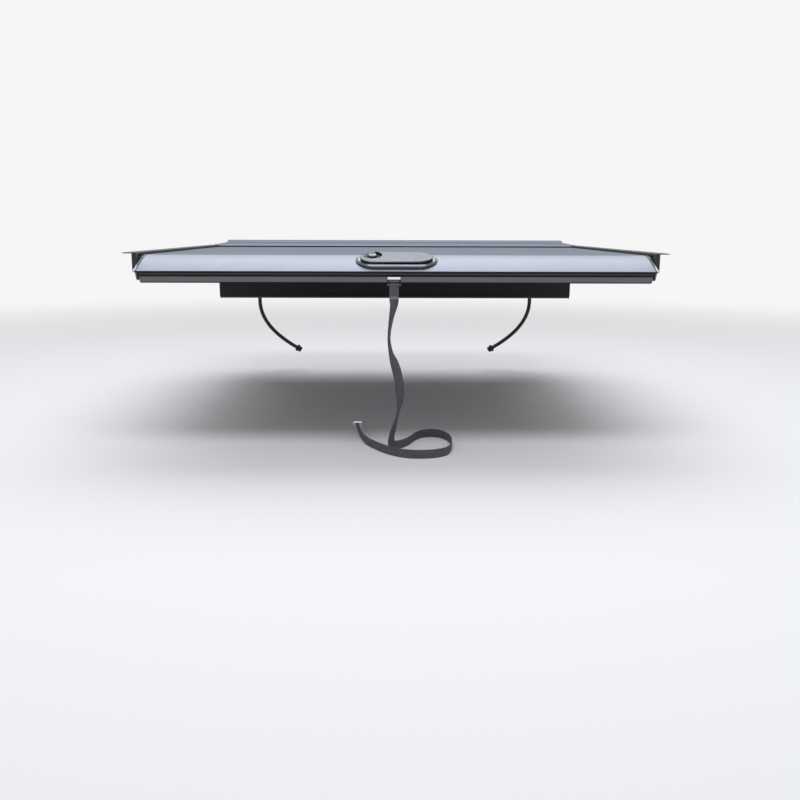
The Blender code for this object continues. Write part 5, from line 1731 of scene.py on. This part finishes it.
@dataclass
class PullStrap:
    """The webbing pull strap on its anchor plate, sewn at both ends, with its snap hook."""

    x: float = -0.007
    width: float = 0.025
    thick: float = 0.0016
    near: float = 0.0034
    far: float = 0.0056
    rail_y: float = 0.0045
    rail_top: float = -0.0785
    rail_low: float = -0.0825
    rail_reach: float = 0.0025
    rail_neck: float = -0.0865
    rail_steps: int = 8
    fold_end: float = -0.1195
    fold_short: float = 0.0012
    fold_steps: int = 4
    floor: float = -0.545
    gap: float = 0.0003
    steps: int = 14
    sewn: float = 0.046
    layer: float = 0.0019
    stitch_length: float = 0.0026
    stitch_thick: float = 0.001
    stitch_segments: int = 8
    stitch_rings: int = 6
    stitch_angle: float = 80.0
    # Both seams: threads across the strap, rows of the fold and places of the end's rows in shares
    seam_columns: Tuple[int, ...] = (-3, -2, -1, 0, 1, 2, 3)
    fold_rows: int = 3
    fold_first: float = 0.003
    fold_pitch: Pair = (0.0032, 0.0026)
    end_rows: Tuple[float, ...] = (0.12, 0.2, 0.78, 0.86)
    end_pitch: float = 0.0031
    plate_edge: float = 0.0005
    hook_edge: float = 0.0006
    strip_low: Triple = (-0.0242, 0.0027, -0.0652)
    strip_high: Triple = (0.0102, 0.0034, -0.0588)
    collar_radius: float = 0.0022
    collar_inner: float = 0.0131
    collar_outer: float = 0.0185
    collar_z: float = -0.0805
    collar_steps: int = 20
    # Places of the free run as it hangs, with the turn of its width in degrees
    hanging: Tuple[Tuple[float, float, float, float], ...] = (
        (-0.0075, 0.0042, -0.1350, 32.0),
        (-0.0150, 0.0063, -0.1743, 60.0),
        (-0.0205, 0.0112, -0.2240, 73.0),
        (-0.0148, 0.0167, -0.2678, 60.0),
        (-0.0048, 0.0207, -0.2972, 24.0),
        (0.0056, 0.0268, -0.3372, 4.0),
        (0.0088, 0.0310, -0.3718, 6.0),
        (0.0096, 0.0345, -0.4064, 44.0),
        (0.0048, 0.0372, -0.4357, 69.0),
        (-0.0016, 0.0398, -0.4617, 64.0),
        (-0.0090, 0.0430, -0.4890, 50.0),
    )
    # Where it meets the floor and turns on edge, with the direction of its width
    landing: Tuple[Tuple[Triple, Triple], ...] = (
        ((-0.0138, 0.0462, -0.5102), (0.60, 0.50, 0.50)),
        ((-0.0132, 0.0486, -0.5262), (0.35, 0.25, 0.87)),
    )
    # The loop on the floor, on edge
    lying: Tuple[Pair, ...] = (
        (-0.004, 0.0505), (0.012, 0.0590), (0.036, 0.098), (0.062, 0.164), (0.092, 0.193),
        (0.130, 0.184), (0.153, 0.136), (0.158, 0.062), (0.142, -0.012), (0.110, -0.042),
        (0.075, -0.052), (0.038, -0.050), (0.004, -0.033), (-0.030, 0.002), (-0.062, 0.052),
        (-0.088, 0.108), (-0.106, 0.190), (-0.118, 0.280),
    )

    def fold_run(self) -> List[Vector]:
        """Lead the fold from its cut end up, over the anchor's rail and down.

        Returns:
            Its centre line.
        """
        middle = (self.fold_end + self.rail_neck) / 2.0
        pairs = [
            (self.far, self.fold_end + self.fold_short),
            (self.far, middle),
            (self.far, self.rail_neck),
            (self.rail_y + self.rail_reach, self.rail_low),
            *arc((self.rail_y, self.rail_top), self.rail_reach, 0.0, math.pi, self.rail_steps),
            (self.rail_y - self.rail_reach, self.rail_low),
            (self.near, self.rail_neck),
            (self.near, middle),
            (self.near, self.fold_end),
        ]
        return smooth_run([Vector((self.x, y, z)) for y, z in pairs], self.fold_steps)

    def free_run(self) -> Tuple[List[Vector], List[Vector]]:
        """Lead the free run from the fold down to the floor and round to the hook.

        Returns:
            Its centre line and the direction of its width at each point.
        """
        edge = self.floor + self.width / 2.0 + self.gap
        stations = [(Vector((self.x, self.near, self.fold_end)), ACROSS)]
        for x, y, z, turn in self.hanging:
            angle = math.radians(turn)
            stations.append((Vector((x, y, z)), Vector((math.cos(angle), math.sin(angle), 0.0))))
        stations += [(Vector(spot), Vector(lean)) for spot, lean in self.landing]
        stations += [(Vector((x, y, edge)), UPRIGHT) for x, y in self.lying]
        points = smooth_run([point for point, _ in stations], self.steps)
        across = smooth_run([turn for _, turn in stations], self.steps)
        for point in points:
            point.z = max(point.z, edge)
        return points, across

    def stitches(self, name: str, places: Sequence[Matrix]) -> Piece:
        """Sew short threads at given places, as one piece.

        Args:
            name: The new piece's name.
            places: Where each thread lies, with its length along local X.

        Returns:
            The new piece.
        """
        Bench.put_down()
        bpy.ops.mesh.primitive_uv_sphere_add(
            segments=self.stitch_segments, ring_count=self.stitch_rings, radius=0.5
        )
        thread = bpy.context.object
        size = (self.stitch_length, self.stitch_thick, self.stitch_thick, 1.0)
        thread.data.transform(Matrix.Diagonal(size))
        spots = []
        faces = []
        for place in places:
            base = len(spots)
            spots += [tuple(place @ vertex.co) for vertex in thread.data.vertices]
            for face in thread.data.polygons:
                faces.append(tuple(base + corner for corner in face.vertices))
        Bench.discard(thread)
        mesh = bpy.data.meshes.new(name)
        mesh.from_pydata(spots, [], faces)
        return Bench.smooth(Bench.add(name, mesh), self.stitch_angle)

    def fold_places(self) -> List[Matrix]:
        """Lay out the threads that close the fold, in staggered rows on its rear face.

        Returns:
            One matrix for each thread.
        """
        places = []
        face = self.near - self.thick / 2.0
        beside, above = self.fold_pitch
        for row in range(self.fold_rows):
            height = self.fold_end + self.fold_first + row * above
            shift = beside / 2.0 if row % 2 else 0.0
            for column in self.seam_columns:
                x = self.x + column * beside + shift - beside / 4.0
                places.append(Matrix.Translation((x, face, height)))
        return places

    def end_places(self, points: Sequence[Vector], offset: Vector) -> List[Matrix]:
        """Lay out the threads of the sewn end, in rows across the strap.

        Args:
            points: The doubled layer's centre line.
            offset: From that line to its outer face.

        Returns:
            One matrix for each thread.
        """
        places = []
        last = len(points) - 1
        for share in self.end_rows:
            index = max(1, min(last - 1, round(share * last)))
            along = heading(points, index)
            turn = Matrix((UPRIGHT, along, UPRIGHT.cross(along))).transposed().to_4x4()
            for column in self.seam_columns:
                spot = points[index] + offset + UPRIGHT * (column * self.end_pitch)
                places.append(Matrix.Translation(spot) @ turn)
        return places

    def build(self) -> None:
        self.build_anchor()
        hook = refit("snap_hook", CHROME, Body.CURTAIN, self.hook_edge)
        run = self.fold_run()
        fold = webbing("pull_strap_fold", run, [ACROSS] * len(run), self.width, self.thick)
        fit(fold, WEBBING, Body.CURTAIN, ["pull_strap"])
        threads = self.stitches("pull_strap_fold_seam", self.fold_places())
        seam = fit(threads, THREAD, Body.CURTAIN)
        points, across = self.free_run()
        strap = webbing("pull_strap_free", points, across, self.width, self.thick)
        fit(strap, WEBBING, Body.CURTAIN, ["pull_strap"])
        end, end_seam = self.build_sewn_end(points)

    def build_anchor(self) -> None:
        """Make the coated anchor plate, its plain bright strip and the collars on its rail."""
        refit("strap_anchor", RAIL_COAT, Body.CURTAIN, self.plate_edge)
        strip = Bench.block("strap_anchor_strip", self.strip_low, self.strip_high)
        fit(Bench.soften(strip, self.plate_edge / 2.0), CHROME, Body.CURTAIN)
        soft = self.plate_edge
        rim = self.collar_radius
        length = self.collar_outer - self.collar_inner
        section = [(0.0, 0.0), (rim - soft, 0.0), (rim, soft)]
        section += [(rim, length - soft), (rim - soft, length), (0.0, length)]
        for hand in Hand:
            spot = (self.x + hand.value * self.collar_inner, self.rail_y, self.collar_z)
            place = turned(spot, hand.value * QUARTER, "Y")
            name = f"strap_anchor_collar_{hand.word}"
            collar = Bench.lathe(name, section, self.collar_steps, place)
            fit(Bench.smooth(collar), DARK_NICKEL, Body.CURTAIN)

    def build_sewn_end(self, points: Sequence[Vector]) -> Tuple[Piece, Piece]:
        """Make the layer that comes back from the hook and its seam.

        Args:
            points: The free run's centre line.

        Returns:
            The layer and its threads.
        """
        tail = [points[-1]]
        for point in reversed(points[:-1]):
            tail.append(point)
            if run_length(tail) > self.sewn:
                break
        layer = []
        for index, point in enumerate(tail):
            aside = heading(tail, index).cross(UPRIGHT).normalized()
            layer.append(point - aside * self.layer)
        end = webbing("pull_strap_end", layer, [UPRIGHT] * len(layer), self.width, self.thick)
        fit(end, WEBBING, Body.CURTAIN)
        along = (layer[-1] - layer[0]).normalized()
        offset = -along.cross(UPRIGHT).normalized() * (self.thick / 2.0)
        threads = self.stitches("pull_strap_end_seam", self.end_places(layer, offset))
        return end, fit(threads, THREAD, Body.CURTAIN)


@dataclass(frozen=True)
class Softbox:
    """A rectangular area light: where it hangs, what it faces, its size, power and spread."""

    name: str
    spot: Triple
    target: Triple
    size: Pair
    watts: float
    spread: float
    colour: str = "#f8faff"

    def hang(self) -> None:
        """Add the light to the scene, unseen by the camera."""
        data = bpy.data.lights.new(self.name, "AREA")
        data.shape = "RECTANGLE"
        data.size, data.size_y = self.size
        data.energy = self.watts
        data.spread = math.radians(self.spread)
        data.color = linear(self.colour)[:3]
        light = Bench.add(self.name, data)
        light.visible_camera = False
        aim = (Vector(self.target) - Vector(self.spot)).to_track_quat("-Z", "Y")
        light.matrix_world = Matrix.Translation(self.spot) @ aim.to_matrix().to_4x4()


@dataclass
class Studio:
    """A pale floor, soft light and the camera behind the tail panel."""

    eye: Triple = (-0.012, -2.3, 0.067)
    pitch: float = -11.3
    yaw: float = -0.54
    roll: float = 0.15
    lens: float = 38.5
    sensor: float = 36.0
    floor: float = -0.545
    floor_size: float = 60.0
    floor_colour: str = "#e6e6e7"
    floor_roughness: float = 0.9
    floor_specular: float = 0.1
    floor_fade: Pair = (1.8, 6.0)
    sky: float = 0.45
    backdrop: float = 0.92
    # One wide light high over the front and one strip above the camera
    softboxes: Tuple[Softbox, ...] = (
        Softbox("softbox_front", (0.0, 3.1, 3.95), (0.0, 0.05, 0.0), (7.0, 4.2), 86.0, 100.0),
        Softbox("softbox_top", (0.0, -1.35, 3.05), (0.0, 0.1, -0.05), (3.4, 1.1), 40.0, 140.0),
    )

    def build(self) -> None:
        """Set up the whole studio."""
        self.build_camera()
        self.build_world()
        self.build_floor()
        for softbox in self.softboxes:
            softbox.hang()
        bpy.context.scene.view_settings.view_transform = "Standard"

    def build_camera(self) -> None:
        """Stand the camera where the photograph was taken from."""
        data = bpy.data.cameras.new("camera")
        data.lens = self.lens
        data.sensor_width = self.sensor
        camera = Bench.add("camera", data)
        turn = Matrix.Rotation(math.radians(self.yaw), 4, "Z")
        turn = turn @ Matrix.Rotation(math.radians(90.0 + self.pitch), 4, "X")
        turn = turn @ Matrix.Rotation(math.radians(self.roll), 4, "Z")
        camera.matrix_world = Matrix.Translation(self.eye) @ turn
        bpy.context.scene.camera = camera

    def build_world(self) -> None:
        """Make an even sky that is white to the eye and in reflections, and dimmer as light."""
        world = bpy.data.worlds.new("studio_sky")
        world.use_nodes = True
        tree = world.node_tree
        tree.nodes.clear()
        skies = []
        for strength in (self.sky, self.backdrop):
            shown = {"Color": WHITE, "Strength": strength}
            sky = add_node(tree, "ShaderNodeBackground", values=shown)
            skies.append(sky.outputs["Background"])
        path = add_node(tree, "ShaderNodeLightPath")
        either = path.outputs["Is Camera Ray"]
        for name in ("Is Glossy Ray", "Is Transmission Ray"):
            rays = {0: either, 1: path.outputs[name]}
            most = add_node(tree, "ShaderNodeMath", {"operation": "MAXIMUM"}, links=rays)
            either = most.outputs["Value"]
        links = {0: either, 1: skies[0], 2: skies[1]}
        mix = add_node(tree, "ShaderNodeMixShader", links=links)
        add_node(tree, "ShaderNodeOutputWorld", links={"Surface": mix.outputs["Shader"]})
        bpy.context.scene.world = world

    def build_floor(self) -> None:
        """Lay the floor, which fades into the backdrop far from the cover."""
        Bench.put_down()
        bpy.ops.mesh.primitive_plane_add(size=self.floor_size, location=(0.0, 0.0, self.floor))
        floor = bpy.context.object
        floor.name = "studio_floor"
        material = bpy.data.materials.new("painted_studio_floor")
        material.use_nodes = True
        tree = material.node_tree
        shader = tree.nodes["Principled BSDF"]
        shader.inputs["Base Color"].default_value = linear(self.floor_colour)
        shader.inputs["Roughness"].default_value = self.floor_roughness
        shader.inputs["Specular IOR Level"].default_value = self.floor_specular
        place = add_node(tree, "ShaderNodeTexCoord").outputs["Object"]
        far = add_node(tree, "ShaderNodeVectorMath", {"operation": "LENGTH"}, links={0: place})
        fade = add_node(
            tree,
            "ShaderNodeMapRange",
            {"interpolation_type": "SMOOTHSTEP"},
            {"From Min": self.floor_fade[0], "From Max": self.floor_fade[1]},
            {"Value": far.outputs["Value"]},
        )
        white = {"Color": WHITE, "Strength": self.backdrop}
        glow = add_node(tree, "ShaderNodeEmission", values=white).outputs["Emission"]
        links = {0: fade.outputs["Result"], 1: shader.outputs["BSDF"], 2: glow}
        mix = add_node(tree, "ShaderNodeMixShader", links=links)
        tree.links.new(mix.outputs["Shader"], tree.nodes["Material Output"].inputs["Surface"])
        floor.data.materials.append(material)


def main() -> None:
    """Build the studio and every sub-assembly."""
    logging.basicConfig(level=logging.INFO, format="%(name)s: %(message)s")
    for part in (Studio(), PullStrap(), Drains(), Deck(), Tail(), Lock(), Rails(), Canister()):
        part.build()
        LOG.info("%s is built", type(part).__name__)


if __name__ == "__main__":
    main()
